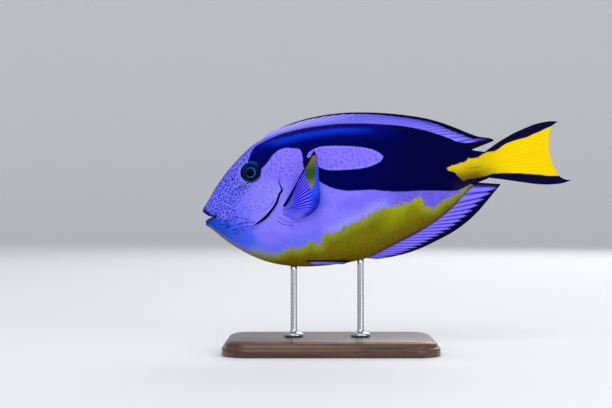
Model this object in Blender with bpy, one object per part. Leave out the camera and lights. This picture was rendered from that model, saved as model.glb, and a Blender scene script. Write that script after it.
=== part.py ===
"""A life-size still model of a regal blue tang (Paracanthurus hepatus) on a display stand.

The fish is built in its own axes, in millimetres: s runs from the snout (0) back towards the
tail, h is the height above the line from the mouth to the middle of the tail stalk, and y is
sideways, with the fish's left at -y. One empty then tilts it nose-down and lifts it onto the
stand, in metres.
"""

import math

import bmesh
import bpy
import numpy as np

MM = 0.001

# Driving dimensions of the whole model
PITCH_DEG = 9.5
BASE_LENGTH, BASE_WIDTH, BASE_THICKNESS = 128.0, 78.0, 9.0
BELLY_CLEARANCE = 42.0
SNOUT_X = -110.2
SNOUT_ABOVE_BELLY = 31.9
TOUCH_GAP = 0.3
SIDES = ((-1, "left"), (1, "right"))

# Side outlines of the body without its fins: (s, h)
BACK = [
    (0.0, 2.2), (2.0, 5.1), (4.5, 7.9), (8.0, 12.4), (12.5, 17.3), (17.5, 22.2), (22.5, 26.4),
    (28.5, 31.0), (35.0, 35.3), (40.0, 37.5), (46.0, 38.6), (57.0, 39.6), (70.0, 40.3), (84.0, 39.9),
    (100.0, 37.9), (118.0, 34.0), (135.0, 28.5), (149.0, 21.9), (159.0, 15.4), (166.0, 11.0),
    (172.5, 8.9),
]
BELLY = [
    (0.0, -5.9), (3.0, -9.6), (6.5, -13.6), (12.0, -19.6), (18.0, -24.9), (25.0, -30.2),
    (33.0, -34.8), (43.0, -38.7), (55.0, -41.5), (68.0, -42.9), (80.0, -43.3), (90.0, -42.8),
    (97.0, -41.3), (110.0, -37.2), (125.0, -32.4), (138.0, -26.9), (149.0, -20.4), (157.0, -14.0),
    (164.5, -9.2), (172.5, -7.2),
]
# Half the thickness at the widest level, that level, and how full the section is above and
# below it: 1 is an ellipse and less is fuller
HALF_WIDTH = [
    (0.0, 1.3), (1.5, 3.0), (4.5, 4.5), (9.0, 5.6), (15.0, 7.2), (23.0, 9.4), (31.0, 11.0),
    (42.0, 12.5), (56.0, 13.4), (72.0, 13.4), (92.0, 12.2), (112.0, 10.0), (132.0, 7.4),
    (150.0, 5.3), (162.0, 4.2), (172.5, 3.3),
]
WIDEST_LEVEL = [(0.0, -1.8), (12.0, 0.5), (31.0, 5.0), (60.0, 3.0), (110.0, 1.0), (172.5, 0.8)]
UPPER_FULLNESS = [(0.0, 0.80), (31.0, 0.78), (60.0, 0.95), (120.0, 1.05), (172.5, 0.95)]
LOWER_FULLNESS = [(0.0, 0.80), (20.0, 0.95), (60.0, 0.90), (120.0, 1.0), (172.5, 0.95)]

# Where the body is parted: behind the gill cover, and across the tail stalk
GILL_EDGE = [
    (37.2, 44.0), (38.4, 36.5), (42.5, 29.5), (46.4, 22.0), (48.3, 14.4), (49.0, 8.5),
    (48.7, 5.0), (47.2, 1.0), (44.6, -2.7), (40.3, -7.0), (35.4, -10.3), (30.4, -12.9),
    (25.2, -15.9), (20.8, -19.8), (17.6, -25.0), (15.5, -33.0),
]
HEAD_END, TRUNK_START = 51.0, 13.0
STALK_START, STALK_END = 150.0, 172.5
GILL_COVER_RISE, GILL_COVER_FADE = 0.7, 7.0

# Eyes, mouth and nostrils
EYE_S, EYE_H = 32.4, 19.2
EYE_RADIUS, EYE_DOME, EYE_BACK, EYE_SUNK = 5.8, 2.2, 3.0, 0.6
ORBIT_RISE, ORBIT_SPREAD = 0.55, 1.5
MOUTH_CORNER = (6.9, -2.9)
UPPER_JAW_EDGE = [(3.6, -1.9), (2.6, -0.8), (1.2, 0.6), (-0.3, 1.5), (-2.0, 2.2)]
LOWER_JAW_EDGE = [(-2.0, -6.8), (0.4, -6.4), (1.3, -5.6), (2.2, -4.5), (3.6, -3.7)]
# The lips are two rolls round the jaws: (s, h) in front and at the corner of the mouth
UPPER_LIP, LOWER_LIP = ((0.95, 1.5), (6.8, -2.5)), ((1.55, -5.4), (6.8, -3.4))
LIP_SIDEWAYS, LIP_FRONT_RADIUS, LIP_CORNER_RADIUS = 4.6, 1.25, 0.35
LIP_DROOP = 2.0
NOSTRILS = [(20.6, 17.3, 0.75), (16.9, 16.7, 0.55)]
NOSTRIL_DEPTH = 1.2

# Median fins: where the base runs from and to, the free edge, and how far behind its base the
# tip of each ray lies, along the base
DORSAL_BASE, DORSAL_RAYS = (39.4, 163.4), 28
DORSAL_EDGE = [
    (39.0, 37.4), (43.0, 39.6), (48.0, 41.8), (53.0, 43.3), (62.0, 45.0), (72.0, 46.2),
    (82.0, 46.5), (93.0, 45.9), (106.0, 44.0), (120.0, 41.0), (133.0, 37.3), (141.0, 34.5),
    (149.2, 30.8), (157.7, 26.0), (166.0, 20.9), (171.0, 18.3), (176.3, 16.7), (178.4, 15.7),
    (179.4, 14.4),
]
DORSAL_LEAN = [
    (39.4, 5.5), (45.0, 11.5), (60.0, 22.0), (75.0, 25.5), (90.0, 27.0), (105.0, 26.5),
    (120.0, 24.0), (135.0, 20.0), (149.0, 17.5), (163.4, 16.0),
]
ANAL_BASE, ANAL_RAYS = (90.0, 163.3), 21
ANAL_EDGE = [
    (89.0, -42.9), (97.0, -44.1), (106.0, -44.3), (114.0, -43.9), (123.0, -42.6), (135.0, -39.3),
    (145.0, -36.0), (153.5, -32.0), (161.5, -27.0), (169.5, -20.4), (179.2, -11.9),
]
ANAL_LEAN = [
    (90.0, 8.0), (94.0, 12.5), (97.0, 16.0), (102.0, 18.5), (130.0, 19.5), (150.0, 19.0),
    (163.3, 15.9),
]
# Each ray is rooted at this depth in the body, and this far ahead of where it leaves the body.
# Both are less at the first rays, and the last ones are rooted right below their base
FIN_ROOT_DEPTH, FIN_ROOT_AHEAD, ROOT_GROWTH = 1.5, 6.0, 0.14

# Tail fin: its upper and lower edges, and how far back it reaches from the lower lobe (-1)
# to the upper lobe (1)
CAUDAL_TOP = [
    (172.8, 8.9), (177.0, 10.9), (183.0, 13.7), (192.0, 17.0), (200.0, 19.1), (207.0, 20.4),
    (213.0, 20.6), (219.4, 19.5),
]
CAUDAL_BOTTOM = [
    (172.8, -7.2), (178.4, -8.7), (185.8, -11.0), (193.3, -13.4), (200.7, -15.6),
    (208.2, -17.1), (215.0, -17.6), (221.2, -16.7),
]
CAUDAL_REACH = [
    (-1.0, 221.2), (-0.88, 217.2), (-0.75, 214.6), (-0.6, 213.2), (-0.3, 211.5), (0.0, 211.0),
    (0.4, 211.9), (0.65, 213.2), (0.83, 215.0), (1.0, 219.4),
]
CAUDAL_RAYS = 17

# Left pectoral fin, seen from the side: base line on the flank, free edge from the tip of the
# upper ray down to the last ray, and how far it stands out. The right one mirrors it
PECTORAL_BASE = [(49.6, -1.8), (48.2, -8.8)]
PECTORAL_EDGE = [
    (71.6, 26.0), (72.6, 20.5), (72.2, 14.5), (71.5, 8.5), (71.2, 2.5), (70.2, -3.5),
    (67.6, -8.0), (63.6, -10.8), (59.2, -12.2), (55.6, -12.4), (52.6, -11.3),
]
PECTORAL_RAYS = 16
PECTORAL_SPREAD_DEG = 19.0
PECTORAL_CURL = 0.30
PECTORAL_ROOT_DEPTH = 1.2

# Left pelvic fin, folded back under the belly: (s, h, y) of the outer and the inner ray
PELVIC_OUTER = [(58.0, -38.0, -6.1), (82.4, -42.3, -6.4)]
PELVIC_INNER = [(61.6, -40.5, -4.5), (78.0, -43.6, -4.0)]
PELVIC_RAYS, PELVIC_SUNK = 4, 0.08

# Thickness of the fins, as halves: membrane, and ray at its root and at its tip. Each ray is a
# ridge whose half width is this share of the space from ray to ray
MEMBRANE_HALF, RAY_ROOT_HALF, RAY_TIP_HALF = 0.26, 0.62, 0.40
RAY_SHARE = 0.30
# The fleshy roots, out of which the rays rise over a short stretch: how much thicker each is,
# and how fast that fades along the ray
MEDIAN_SWELL, PECTORAL_SWELL, PELVIC_SWELL, CAUDAL_SWELL = 0.75, 0.5, 0.4, 0.35
SWELL_FADE, ROOT_STRETCH = 2.2, 0.15
# The tail fin starts as thick as the stalk and has thinned to its rays after this stretch
CAUDAL_ROOT_STRETCH, CAUDAL_ROOT_POWER, CAUDAL_CROWDING = 0.3, 1.6, 1.15

# The scalpel: the blade folded into a groove on each side of the tail stalk
SCALPEL_FRONT, SCALPEL_LENGTH, SCALPEL_HEIGHT = 157.5, 12.5, 2.5
SCALPEL_LEVEL, SCALPEL_PROUD, SCALPEL_SUNK = 1.4, 0.75, 0.8
SCALPEL_TIP, SCALPEL_TAPER = 0.15, 0.82

# Stand
BASE_CENTRE_X, BASE_CORNER, BASE_BEVEL = -34.0, 16.0, 1.6
ROD_RADIUS, ROD_FOOT_RADIUS, ROD_FOOT_HEIGHT, ROD_FOOT_EDGE = 2.0, 6.0, 2.2, 0.8
FRONT_ROD_X, REAR_ROD_X = -56.0, -15.9
ROD_OVERRUN = 6.0

# Reach of the cutters beyond the body: sideways, ahead, behind, and up and down
CUT_SIDEWAYS, CUT_AHEAD, CUT_BEHIND, CUT_UPWARDS = 30.0, -20.0, 90.0, 60.0

# Mesh fineness
BODY_SHARP_DEG, FIN_SHARP_DEG = 40.0, 10.0
HEAD_RINGS, HEAD_CROWDING, HEAD_SIDES = 35, 1.4, 48
TRUNK_RINGS, STALK_RINGS, TRUNK_SIDES = 34, 8, 36
EYE_BANDS, EYE_SEGMENTS, NOSTRIL_SEGMENTS = 12, 24, 8
LIP_STEPS, LIP_SIDES = 6, 10
SCALPEL_STEPS, SCALPEL_SIDES = 8, 8
ROD_SIDES, CORNER_STEPS = 20, 6
MEDIAN_FIN_ROWS, CAUDAL_ROWS, PAIRED_FIN_ROWS = 3, 8, 5


def curve(points, x):
    """Smooth value at x of a curve through the points: cubic pieces whose slopes never overshoot."""
    px, py = (np.array(column, float) for column in zip(*points))
    step = np.diff(px)
    slope = np.diff(py) / step
    tangent = np.empty(len(px))
    tangent[0], tangent[-1] = slope[0], slope[-1]
    weight = step[1:] + 2 * step[:-1], 2 * step[1:] + step[:-1]
    same = slope[:-1] * slope[1:] > 0
    safe = np.where(same, slope[:-1], 1), np.where(same, slope[1:], 1)
    mean = (weight[0] + weight[1]) / (weight[0] / safe[0] + weight[1] / safe[1])
    tangent[1:-1] = np.where(same, mean, 0)
    x = np.clip(x, px[0], px[-1])
    i = np.clip(np.searchsorted(px, x) - 1, 0, len(step) - 1)
    t = (x - px[i]) / step[i]
    rise = py[i + 1] - py[i]
    bend = tangent[i] * step[i], tangent[i + 1] * step[i]
    return py[i] + bend[0] * t + (3 * rise - 2 * bend[0] - bend[1]) * t**2 + (
        bend[0] + bend[1] - 2 * rise
    ) * t**3


def outline(points, s):
    """An outline that starts blunt at the snout: it is smooth in the square root of s."""
    return curve([(math.sqrt(p), q) for p, q in points], math.sqrt(max(s, 0.0)))


def distance_to_line(line, s, h):
    """Distance from (s, h) to an open line of points."""
    best = math.inf
    for (s0, h0), (s1, h1) in zip(line, line[1:]):
        ds, dh = s1 - s0, h1 - h0
        t = ((s - s0) * ds + (h - h0) * dh) / (ds * ds + dh * dh)
        t = min(max(t, 0.0), 1.0)
        best = min(best, math.hypot(s - s0 - t * ds, h - h0 - t * dh))
    return best


def face_relief(s, h):
    """How far the face stands proud of the plain body: rim of the eye and gill cover."""
    from_rim = math.hypot(s - EYE_S, h - EYE_H) - EYE_RADIUS
    orbit = ORBIT_RISE * math.exp(-((from_rim / ORBIT_SPREAD) ** 2))
    from_gill = distance_to_line(GILL_EDGE, s, h) / GILL_COVER_FADE
    cover = GILL_COVER_RISE * max(0.0, 1.0 - from_gill) ** 2
    return orbit + cover


def section(s, grow=0.0):
    """Top, bottom, widest level, half width and fullness above and below, at one station."""
    return (
        outline(BACK, s) + grow,
        outline(BELLY, s) - grow,
        curve(WIDEST_LEVEL, s),
        outline(HALF_WIDTH, s) + grow,
        curve(UPPER_FULLNESS, s),
        curve(LOWER_FULLNESS, s),
    )


def half_width_at(s, h):
    """Half the body's thickness at station s and height h."""
    top, bottom, level, width, upper, lower = section(s)
    reach, fullness = (top - level, upper) if h > level else (bottom - level, lower)
    rise = min(max((h - level) / reach, 0.0), 1.0)
    return width * math.sqrt(1 - rise * rise) ** fullness


def body_ring(s, sides, grow=0.0, relief=None):
    """One closed section of the body, as points (s, y, h), from the belly up the left side."""
    top, bottom, level, width, upper, lower = section(s, grow)
    ring = []
    for k in range(sides):
        angle = 2 * math.pi * k / sides - math.pi / 2
        across, up = math.cos(angle), math.sin(angle)
        reach, fullness = (top - level, upper) if up > 0 else (level - bottom, lower)
        h = level + reach * up
        y = width * abs(across) ** fullness
        if relief:
            y += relief(s, h) * min(1.0, abs(across) * 3)
        ring.append((s, -math.copysign(y, across), h))
    return ring


def shade(mesh, sharp_deg=BODY_SHARP_DEG):
    """Smooth shading, with sharp edges left where two faces meet at a clear angle."""
    mesh.shade_smooth()
    mesh.set_sharp_from_angle(angle=math.radians(sharp_deg))


def mesh_object(name, points, faces, material=None, parent=None, cutter=False):
    """An object from points in millimetres, with every face turned outwards."""
    mesh = bpy.data.meshes.new(name)
    mesh.from_pydata([tuple(c * MM for c in p) for p in points], [], faces)
    made = bmesh.new()
    made.from_mesh(mesh)
    bmesh.ops.remove_doubles(made, verts=made.verts, dist=1e-7)
    bmesh.ops.recalc_face_normals(made, faces=made.faces)
    if made.calc_volume(signed=True) < 0:
        bmesh.ops.reverse_faces(made, faces=made.faces)
    made.to_mesh(mesh)
    made.free()
    shade(mesh)
    if material:
        mesh.materials.append(material)
    obj = bpy.data.objects.new(name, mesh)
    bpy.context.scene.collection.objects.link(obj)
    obj.parent = parent
    if cutter:
        obj.hide_render = True
        obj.display_type = "WIRE"
    return obj


def loft(name, rings, **options):
    """A closed body through rings of points, with a fan of triangles over each end."""
    sides = len(rings[0])
    points = [p for ring in rings for p in ring]
    faces = []
    for r in range(len(rings) - 1):
        for k in range(sides):
            a, b = r * sides + k, r * sides + (k + 1) % sides
            faces.append((a, b, b + sides, a + sides))
    for ring, first in ((rings[0], 0), (rings[-1], (len(rings) - 1) * sides)):
        middle = len(points)
        points.append(tuple(np.mean(ring, axis=0)))
        faces += [(first + k, first + (k + 1) % sides, middle) for k in range(sides)]
    return mesh_object(name, points, faces, **options)


def stations(first, last, count, crowding=1.0):
    """Places of rings from first to last, closer together near first where crowding is over 1."""
    return [first + (last - first) * (i / count) ** crowding for i in range(count + 1)]


def prism(name, shape, parent):
    """A side-view shape of (s, h) points, drawn out sideways, as a cutter."""
    count = len(shape)
    points = [(s, y, h) for y in (-CUT_SIDEWAYS, CUT_SIDEWAYS) for s, h in shape]
    faces = [tuple(range(count)), tuple(range(2 * count - 1, count - 1, -1))]
    faces += [(i, (i + 1) % count, (i + 1) % count + count, i + count) for i in range(count)]
    return mesh_object(name, points, faces, parent=parent, cutter=True)


def cut(obj, cutters, additions=(), sharp_deg=BODY_SHARP_DEG):
    """Takes the cutters' shapes out of obj, joins the additions to it, for good, and keeps its
    largest closed surface."""
    steps = [("DIFFERENCE", cutter) for cutter in cutters]
    steps += [("UNION", addition) for addition in additions]
    for operation, other in steps:
        modifier = obj.modifiers.new(other.name, "BOOLEAN")
        modifier.operation = operation
        modifier.object = other
    bpy.context.view_layer.update()
    evaluated = obj.evaluated_get(bpy.context.evaluated_depsgraph_get())
    plain = obj.data
    obj.data = bpy.data.meshes.new_from_object(evaluated)
    obj.data.name = obj.name
    obj.modifiers.clear()
    bpy.data.meshes.remove(plain)
    keep_largest_surface(obj.data)
    shade(obj.data, sharp_deg)


def keep_largest_surface(mesh):
    """Drops any loose scrap that a cut left beside the main body."""
    made = bmesh.new()
    made.from_mesh(mesh)
    left = set(made.verts)
    surfaces = []
    while left:
        reached, waiting = set(), [left.pop()]
        while waiting:
            vert = waiting.pop()
            reached.add(vert)
            for edge in vert.link_edges:
                other = edge.other_vert(vert)
                if other in left:
                    left.remove(other)
                    waiting.append(other)
        surfaces.append(reached)
    surfaces.sort(key=len)
    scraps = [vert for surface in surfaces[:-1] for vert in surface]
    bmesh.ops.delete(made, geom=scraps, context="VERTS")
    made.to_mesh(mesh)
    made.free()


def ray_half(u, v, rays, swell):
    """Half the thickness of a fin at u across its rays and v from root to edge."""
    from_ray = abs(u * (rays - 1) - round(u * (rays - 1)))
    crest = max(0.0, 1.0 - from_ray / RAY_SHARE) * min(1.0, v / ROOT_STRETCH)
    ray = RAY_ROOT_HALF + (RAY_TIP_HALF - RAY_ROOT_HALF) * v
    root = swell * max(0.0, 1 - SWELL_FADE * v) ** 2
    return MEMBRANE_HALF + (ray - MEMBRANE_HALF) * crest + root


def fin(name, sheet, half, rays, rows, material, parent):
    """A closed fin: two faces either side of sheet(u, v), split into triangles alike, and an edge."""
    tiny = 1e-4
    across = [(i + part) / (rays - 1) for i in range(rays) for part in (-RAY_SHARE, 0, RAY_SHARE)]
    across = across[1:-1]
    columns = len(across) - 1
    sides = ([], [])
    for u in across:
        for j in range(rows + 1):
            v = j / rows
            at = np.array(sheet(u, v))
            along_u = np.array(sheet(min(u + tiny, 1), v)) - np.array(sheet(max(u - tiny, 0), v))
            along_v = np.array(sheet(u, min(v + tiny, 1))) - np.array(sheet(u, max(v - tiny, 0)))
            normal = np.cross(along_u, along_v)
            normal /= np.linalg.norm(normal)
            for side, sign in zip(sides, (1, -1)):
                side.append(tuple(at + sign * half(u, v) * normal))
    count = (columns + 1) * (rows + 1)

    def index(i, j):
        return i * (rows + 1) + j

    faces = []
    for i in range(columns):
        for j in range(rows):
            a, b, c, d = index(i, j), index(i + 1, j), index(i + 1, j + 1), index(i, j + 1)
            faces += [(a, b, c), (a, c, d), (a + count, c + count, b + count)]
            faces.append((a + count, d + count, c + count))
    rim = [index(i, 0) for i in range(columns)]
    rim += [index(columns, j) for j in range(rows)]
    rim += [index(i, rows) for i in range(columns, 0, -1)]
    rim += [index(0, j) for j in range(rows, 0, -1)]
    for a, b in zip(rim, rim[1:] + rim[:1]):
        faces += [(a, b, b + count), (a, b + count, a + count)]
    made = mesh_object(name, sides[0] + sides[1], faces, material=material, parent=parent)
    shade(made.data, FIN_SHARP_DEG)
    return made


def material(name, colour, roughness, metallic=0.0):
    """A plain material: a Principled BSDF with colour, roughness and metallic value."""
    made = bpy.data.materials.new(name)
    made.use_nodes = True
    shader = made.node_tree.nodes["Principled BSDF"]
    shader.inputs["Base Color"].default_value = (*colour, 1.0)
    shader.inputs["Roughness"].default_value = roughness
    shader.inputs["Metallic"].default_value = metallic
    made.diffuse_color = (*colour, 1.0)
    return made


def shifted(line, distance):
    """The line moved sideways: back towards the tail where distance is positive."""
    moved = []
    for i, (s, h) in enumerate(line):
        (s0, h0), (s1, h1) = line[max(i - 1, 0)], line[min(i + 1, len(line) - 1)]
        length = math.hypot(s1 - s0, h1 - h0)
        moved.append((s - (h1 - h0) / length * distance, h + (s1 - s0) / length * distance))
    return moved


def gill_line():
    """The parting line behind the gill cover, drawn smoothly through its points."""
    rows = list(range(len(GILL_EDGE)))
    steps = [k / 2 for k in range(2 * len(rows) - 1)]
    along_s = [(i, GILL_EDGE[i][0]) for i in rows]
    along_h = [(i, GILL_EDGE[i][1]) for i in rows]
    return [(float(curve(along_s, t)), float(curve(along_h, t))) for t in steps]


def surface_normal(s, h):
    """Outward unit normal (s, y, h) of the left flank at (s, h)."""
    step = 0.5
    along_s = np.array([2 * step, half_width_at(s - step, h) - half_width_at(s + step, h), 0.0])
    along_h = np.array([0.0, half_width_at(s, h - step) - half_width_at(s, h + step), 2 * step])
    normal = np.cross(along_s, along_h)
    normal /= np.linalg.norm(normal)
    return normal if normal[1] < 0 else -normal


def turned_rings(s, h, profile, side, segments):
    """Rings of a turned shape standing out of the flank at (s, h). profile holds pairs of a
    radius and a distance out from the surface, and side is -1 for the left."""
    out = surface_normal(s, h)
    at = np.array([s, -half_width_at(s, h), h])
    across = np.cross(out, (0.0, 0.0, 1.0))
    across /= np.linalg.norm(across)
    up = np.cross(across, out)
    rings = []
    for radius, reach in profile:
        ring = []
        for k in range(segments):
            turn = 2 * math.pi * k / segments
            point = at + reach * out + radius * (math.cos(turn) * across + math.sin(turn) * up)
            ring.append((point[0], -side * point[1], point[2]))
        rings.append(ring)
    return rings


def eyeball_rings(side, grow=0.0, socket=False):
    """The eyeball, flatter in front than behind, or its socket with a straight wall to the
    outside."""
    profile = []
    for band in range(1, EYE_BANDS):
        lean = math.pi * band / EYE_BANDS
        depth = EYE_BACK if band < EYE_BANDS / 2 else EYE_DOME
        reach = -(depth + grow) * math.cos(lean) - EYE_SUNK
        profile.append(((EYE_RADIUS + grow) * math.sin(lean), reach))
    if socket:
        profile = profile[: EYE_BANDS // 2] + [(EYE_RADIUS + grow, EYE_RADIUS)]
    return turned_rings(EYE_S, EYE_H, profile, side, EYE_SEGMENTS)


def lip_roll(name, front, corner, parent):
    """A lip: a roll bent round the jaw from one corner of the mouth to the other."""
    rings = []
    for i in range(-LIP_STEPS, LIP_STEPS + 1):
        turn = math.pi / 2 * i / LIP_STEPS
        back, fallen = 1 - math.cos(turn), abs(math.sin(turn)) ** LIP_DROOP
        middle = np.array([
            front[0] + (corner[0] - front[0]) * back,
            -LIP_SIDEWAYS * math.sin(turn),
            front[1] + (corner[1] - front[1]) * fallen,
        ])
        outward = np.array([-math.cos(turn), -math.sin(turn), 0.0])
        radius = LIP_FRONT_RADIUS + (LIP_CORNER_RADIUS - LIP_FRONT_RADIUS) * back
        ring = []
        for k in range(LIP_SIDES):
            angle = 2 * math.pi * k / LIP_SIDES
            spoke = math.cos(angle) * outward + math.sin(angle) * np.array([0.0, 0.0, 1.0])
            ring.append(tuple(middle + radius * spoke))
        rings.append(ring)
    return loft(name, rings, parent=parent, cutter=True)


def scalpel_rings(side, grow):
    """The folded blade of the tail stalk: pointed in front, lying in the skin."""
    rings = []
    for i in range(SCALPEL_STEPS + 1):
        t = i / SCALPEL_STEPS
        s = SCALPEL_FRONT + SCALPEL_LENGTH * t
        surface = half_width_at(s, SCALPEL_LEVEL)
        swell = max(SCALPEL_TIP, math.sin(math.pi * SCALPEL_TAPER * t))
        half_height = SCALPEL_HEIGHT / 2 * swell + grow
        middle = surface + (SCALPEL_PROUD * swell - SCALPEL_SUNK) / 2
        half_depth = (SCALPEL_PROUD * swell + SCALPEL_SUNK) / 2 + grow
        at = s + (-grow if i == 0 else grow if i == SCALPEL_STEPS else 0.0)
        ring = []
        for k in range(SCALPEL_SIDES):
            turn = 2 * math.pi * k / SCALPEL_SIDES
            y = middle + half_depth * math.cos(turn)
            ring.append((at, side * y, SCALPEL_LEVEL + half_height * math.sin(turn)))
        rings.append(ring)
    return rings


def build_head(fish, skin):
    """Head with lips, open mouth, nostrils, eye sockets and the raised rim of the gill cover."""
    rings = [
        body_ring(s, HEAD_SIDES, relief=face_relief)
        for s in stations(0.0, HEAD_END, HEAD_RINGS, HEAD_CROWDING)
    ]
    head = loft("head", rings, material=skin, parent=fish)
    behind = shifted(gill_line(), -TOUCH_GAP / 2)
    behind += [(CUT_BEHIND, -CUT_UPWARDS), (CUT_BEHIND, CUT_UPWARDS)]
    mouth = [MOUTH_CORNER] + UPPER_JAW_EDGE + LOWER_JAW_EDGE
    cutters = [prism("cut_behind_gill", behind, fish), prism("cut_mouth", mouth, fish)]
    for side, word in SIDES:
        socket = eyeball_rings(side, TOUCH_GAP, socket=True)
        cutters.append(loft("cut_socket_" + word, socket, parent=fish, cutter=True))
        for number, (s, h, radius) in enumerate(NOSTRILS):
            bore = turned_rings(
                s, h, [(radius, -NOSTRIL_DEPTH), (radius, NOSTRIL_DEPTH)], side, NOSTRIL_SEGMENTS
            )
            name = f"cut_nostril_{word}_{number}"
            cutters.append(loft(name, bore, parent=fish, cutter=True))
    lips = [lip_roll("lip_upper", *UPPER_LIP, fish), lip_roll("lip_lower", *LOWER_LIP, fish)]
    cut(head, cutters, lips)


def build_trunk(fish, skin):
    """Body from the gill opening to the tail stalk."""
    places = stations(TRUNK_START, STALK_START - TOUCH_GAP / 2, TRUNK_RINGS)
    trunk = loft("trunk", [body_ring(s, TRUNK_SIDES) for s in places], material=skin, parent=fish)
    ahead = shifted(gill_line(), TOUCH_GAP / 2)
    ahead += [(CUT_AHEAD, -CUT_UPWARDS), (CUT_AHEAD, CUT_UPWARDS)]
    cut(trunk, [prism("cut_ahead_of_gill", ahead, fish)])


def build_tail_stalk(fish, skin):
    """Tail stalk, with a groove for the scalpel on each side."""
    places = stations(STALK_START + TOUCH_GAP / 2, STALK_END, STALK_RINGS)
    rings = [body_ring(s, TRUNK_SIDES) for s in places]
    stalk = loft("tail_stalk", rings, material=skin, parent=fish)
    grooves = []
    for side, word in SIDES:
        rings = scalpel_rings(side, TOUCH_GAP)
        grooves.append(loft("cut_groove_" + word, rings, parent=fish, cutter=True))
    cut(stalk, grooves)


def median_sheet(body, base, edge, lean, inward):
    """Middle sheet of the dorsal or anal fin: rays from the body's outline to the free edge."""

    def sheet(u, v):
        from_front, from_rear = min(1.0, u / ROOT_GROWTH), min(1.0, (1 - u) / ROOT_GROWTH)
        leaves = base[0] + (base[1] - base[0]) * u
        s0 = leaves - FIN_ROOT_AHEAD * min(from_front, from_rear)
        h0 = float(outline(body, s0)) + inward * FIN_ROOT_DEPTH * (1 + from_front) / 2
        s1 = leaves + float(curve(lean, leaves))
        h1 = float(curve(edge, s1))
        return (s0 + (s1 - s0) * v, 0.0, h0 + (h1 - h0) * v)

    return sheet


def build_median_fins(fish, skin, clearance):
    """Dorsal and anal fins, their roots cut to the shape of the back and belly."""
    plans = (
        ("dorsal_fin", BACK, DORSAL_BASE, DORSAL_EDGE, DORSAL_LEAN, -1, DORSAL_RAYS),
        ("anal_fin", BELLY, ANAL_BASE, ANAL_EDGE, ANAL_LEAN, 1, ANAL_RAYS),
    )
    for name, body, base, edge, lean, inward, rays in plans:
        sheet = median_sheet(body, base, edge, lean, inward)

        def half(u, v, rays=rays):
            return ray_half(u, v, rays, MEDIAN_SWELL)

        made = fin(name, sheet, half, rays, MEDIAN_FIN_ROWS, skin, fish)
        cut(made, [clearance], sharp_deg=FIN_SHARP_DEG)


def build_caudal_fin(fish, skin):
    """Tail fin: it starts with the stalk's own section and thins to a forked fan of rays."""
    start = STALK_END + TOUCH_GAP

    def sheet(u, v):
        q = 2 * u - 1
        s = start + (float(curve(CAUDAL_REACH, q)) - start) * v**CAUDAL_CROWDING
        low, high = float(curve(CAUDAL_BOTTOM, s)), float(curve(CAUDAL_TOP, s))
        return (s, 0.0, low + (high - low) * u)

    def half(u, v):
        q = 2 * u - 1
        root = outline(HALF_WIDTH, STALK_END) * math.sqrt(max(0.0, 1 - q * q)) + MEMBRANE_HALF
        fade = max(0.0, 1 - v / CAUDAL_ROOT_STRETCH) ** CAUDAL_ROOT_POWER
        plain = ray_half(u, v, CAUDAL_RAYS, CAUDAL_SWELL)
        return plain + (root - plain) * fade

    fin("caudal_fin", sheet, half, CAUDAL_RAYS, CAUDAL_ROWS, skin, fish)


def pectoral_sheet(side):
    """Middle sheet of a pectoral fin, fanned up and back from the flank and curling in again."""
    rise = math.tan(math.radians(PECTORAL_SPREAD_DEG))
    edge_s = [(i, p[0]) for i, p in enumerate(PECTORAL_EDGE)]
    edge_h = [(i, p[1]) for i, p in enumerate(PECTORAL_EDGE)]
    upper, lower = (np.array(p) for p in PECTORAL_BASE)

    def sheet(u, v):
        root = upper + (lower - upper) * u
        place = u * (len(PECTORAL_EDGE) - 1)
        tip = np.array([float(curve(edge_s, place)), float(curve(edge_h, place))])
        sunk = PECTORAL_ROOT_DEPTH / np.linalg.norm(tip - root)
        along = v * (1 + sunk) - sunk
        at = root + (tip - root) * along
        reach = np.linalg.norm(tip - root) * along
        out = half_width_at(*root) + rise * reach * (1 - PECTORAL_CURL * max(along, 0.0))
        return (at[0], side * out, at[1])

    return sheet


def build_paired_fins(fish, skin, clearance):
    """Pectoral and pelvic fins, left and right, their roots cut to the shape of the flank."""
    for side, word in SIDES:

        def pectoral_half(u, v):
            return ray_half(u, v, PECTORAL_RAYS, PECTORAL_SWELL)

        sheet = pectoral_sheet(side)
        name = "pectoral_fin_" + word
        made = fin(name, sheet, pectoral_half, PECTORAL_RAYS, PAIRED_FIN_ROWS, skin, fish)
        cut(made, [clearance], sharp_deg=FIN_SHARP_DEG)

        def pelvic_sheet(u, v):
            rays = []
            for start, end in (PELVIC_OUTER, PELVIC_INNER):
                root, tip = np.array(start), np.array(end)
                along = v * (1 + PELVIC_SUNK) - PELVIC_SUNK
                rays.append(root + (tip - root) * along)
            s, h, y = rays[0] + (rays[1] - rays[0]) * u
            return (s, -side * y, h)

        def pelvic_half(u, v):
            return ray_half(u, v, PELVIC_RAYS, PELVIC_SWELL)

        name = "pelvic_fin_" + word
        made = fin(name, pelvic_sheet, pelvic_half, PELVIC_RAYS, PAIRED_FIN_ROWS, skin, fish)
        cut(made, [clearance], sharp_deg=FIN_SHARP_DEG)


def build_eyes_and_scalpels(fish, glassy, bone):
    """Eyeballs in their sockets and the blades in the grooves of the tail stalk."""
    for side, word in SIDES:
        loft("eye_" + word, eyeball_rings(side), material=glassy, parent=fish)
        loft("scalpel_" + word, scalpel_rings(side, 0.0), material=bone, parent=fish)


def rounded_rectangle(length, width, corner):
    """Corner points of a rectangle with round corners, anticlockwise about the origin."""
    points = []
    for k in range(4):
        turn = math.pi / 2 * k
        sign_x, sign_y = ((1, 1), (-1, 1), (-1, -1), (1, -1))[k]
        centre = (sign_x * (length / 2 - corner), sign_y * (width / 2 - corner))
        for i in range(CORNER_STEPS + 1):
            angle = turn + math.pi / 2 * i / CORNER_STEPS
            points.append(
                (centre[0] + corner * math.cos(angle), centre[1] + corner * math.sin(angle))
            )
    return points


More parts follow.
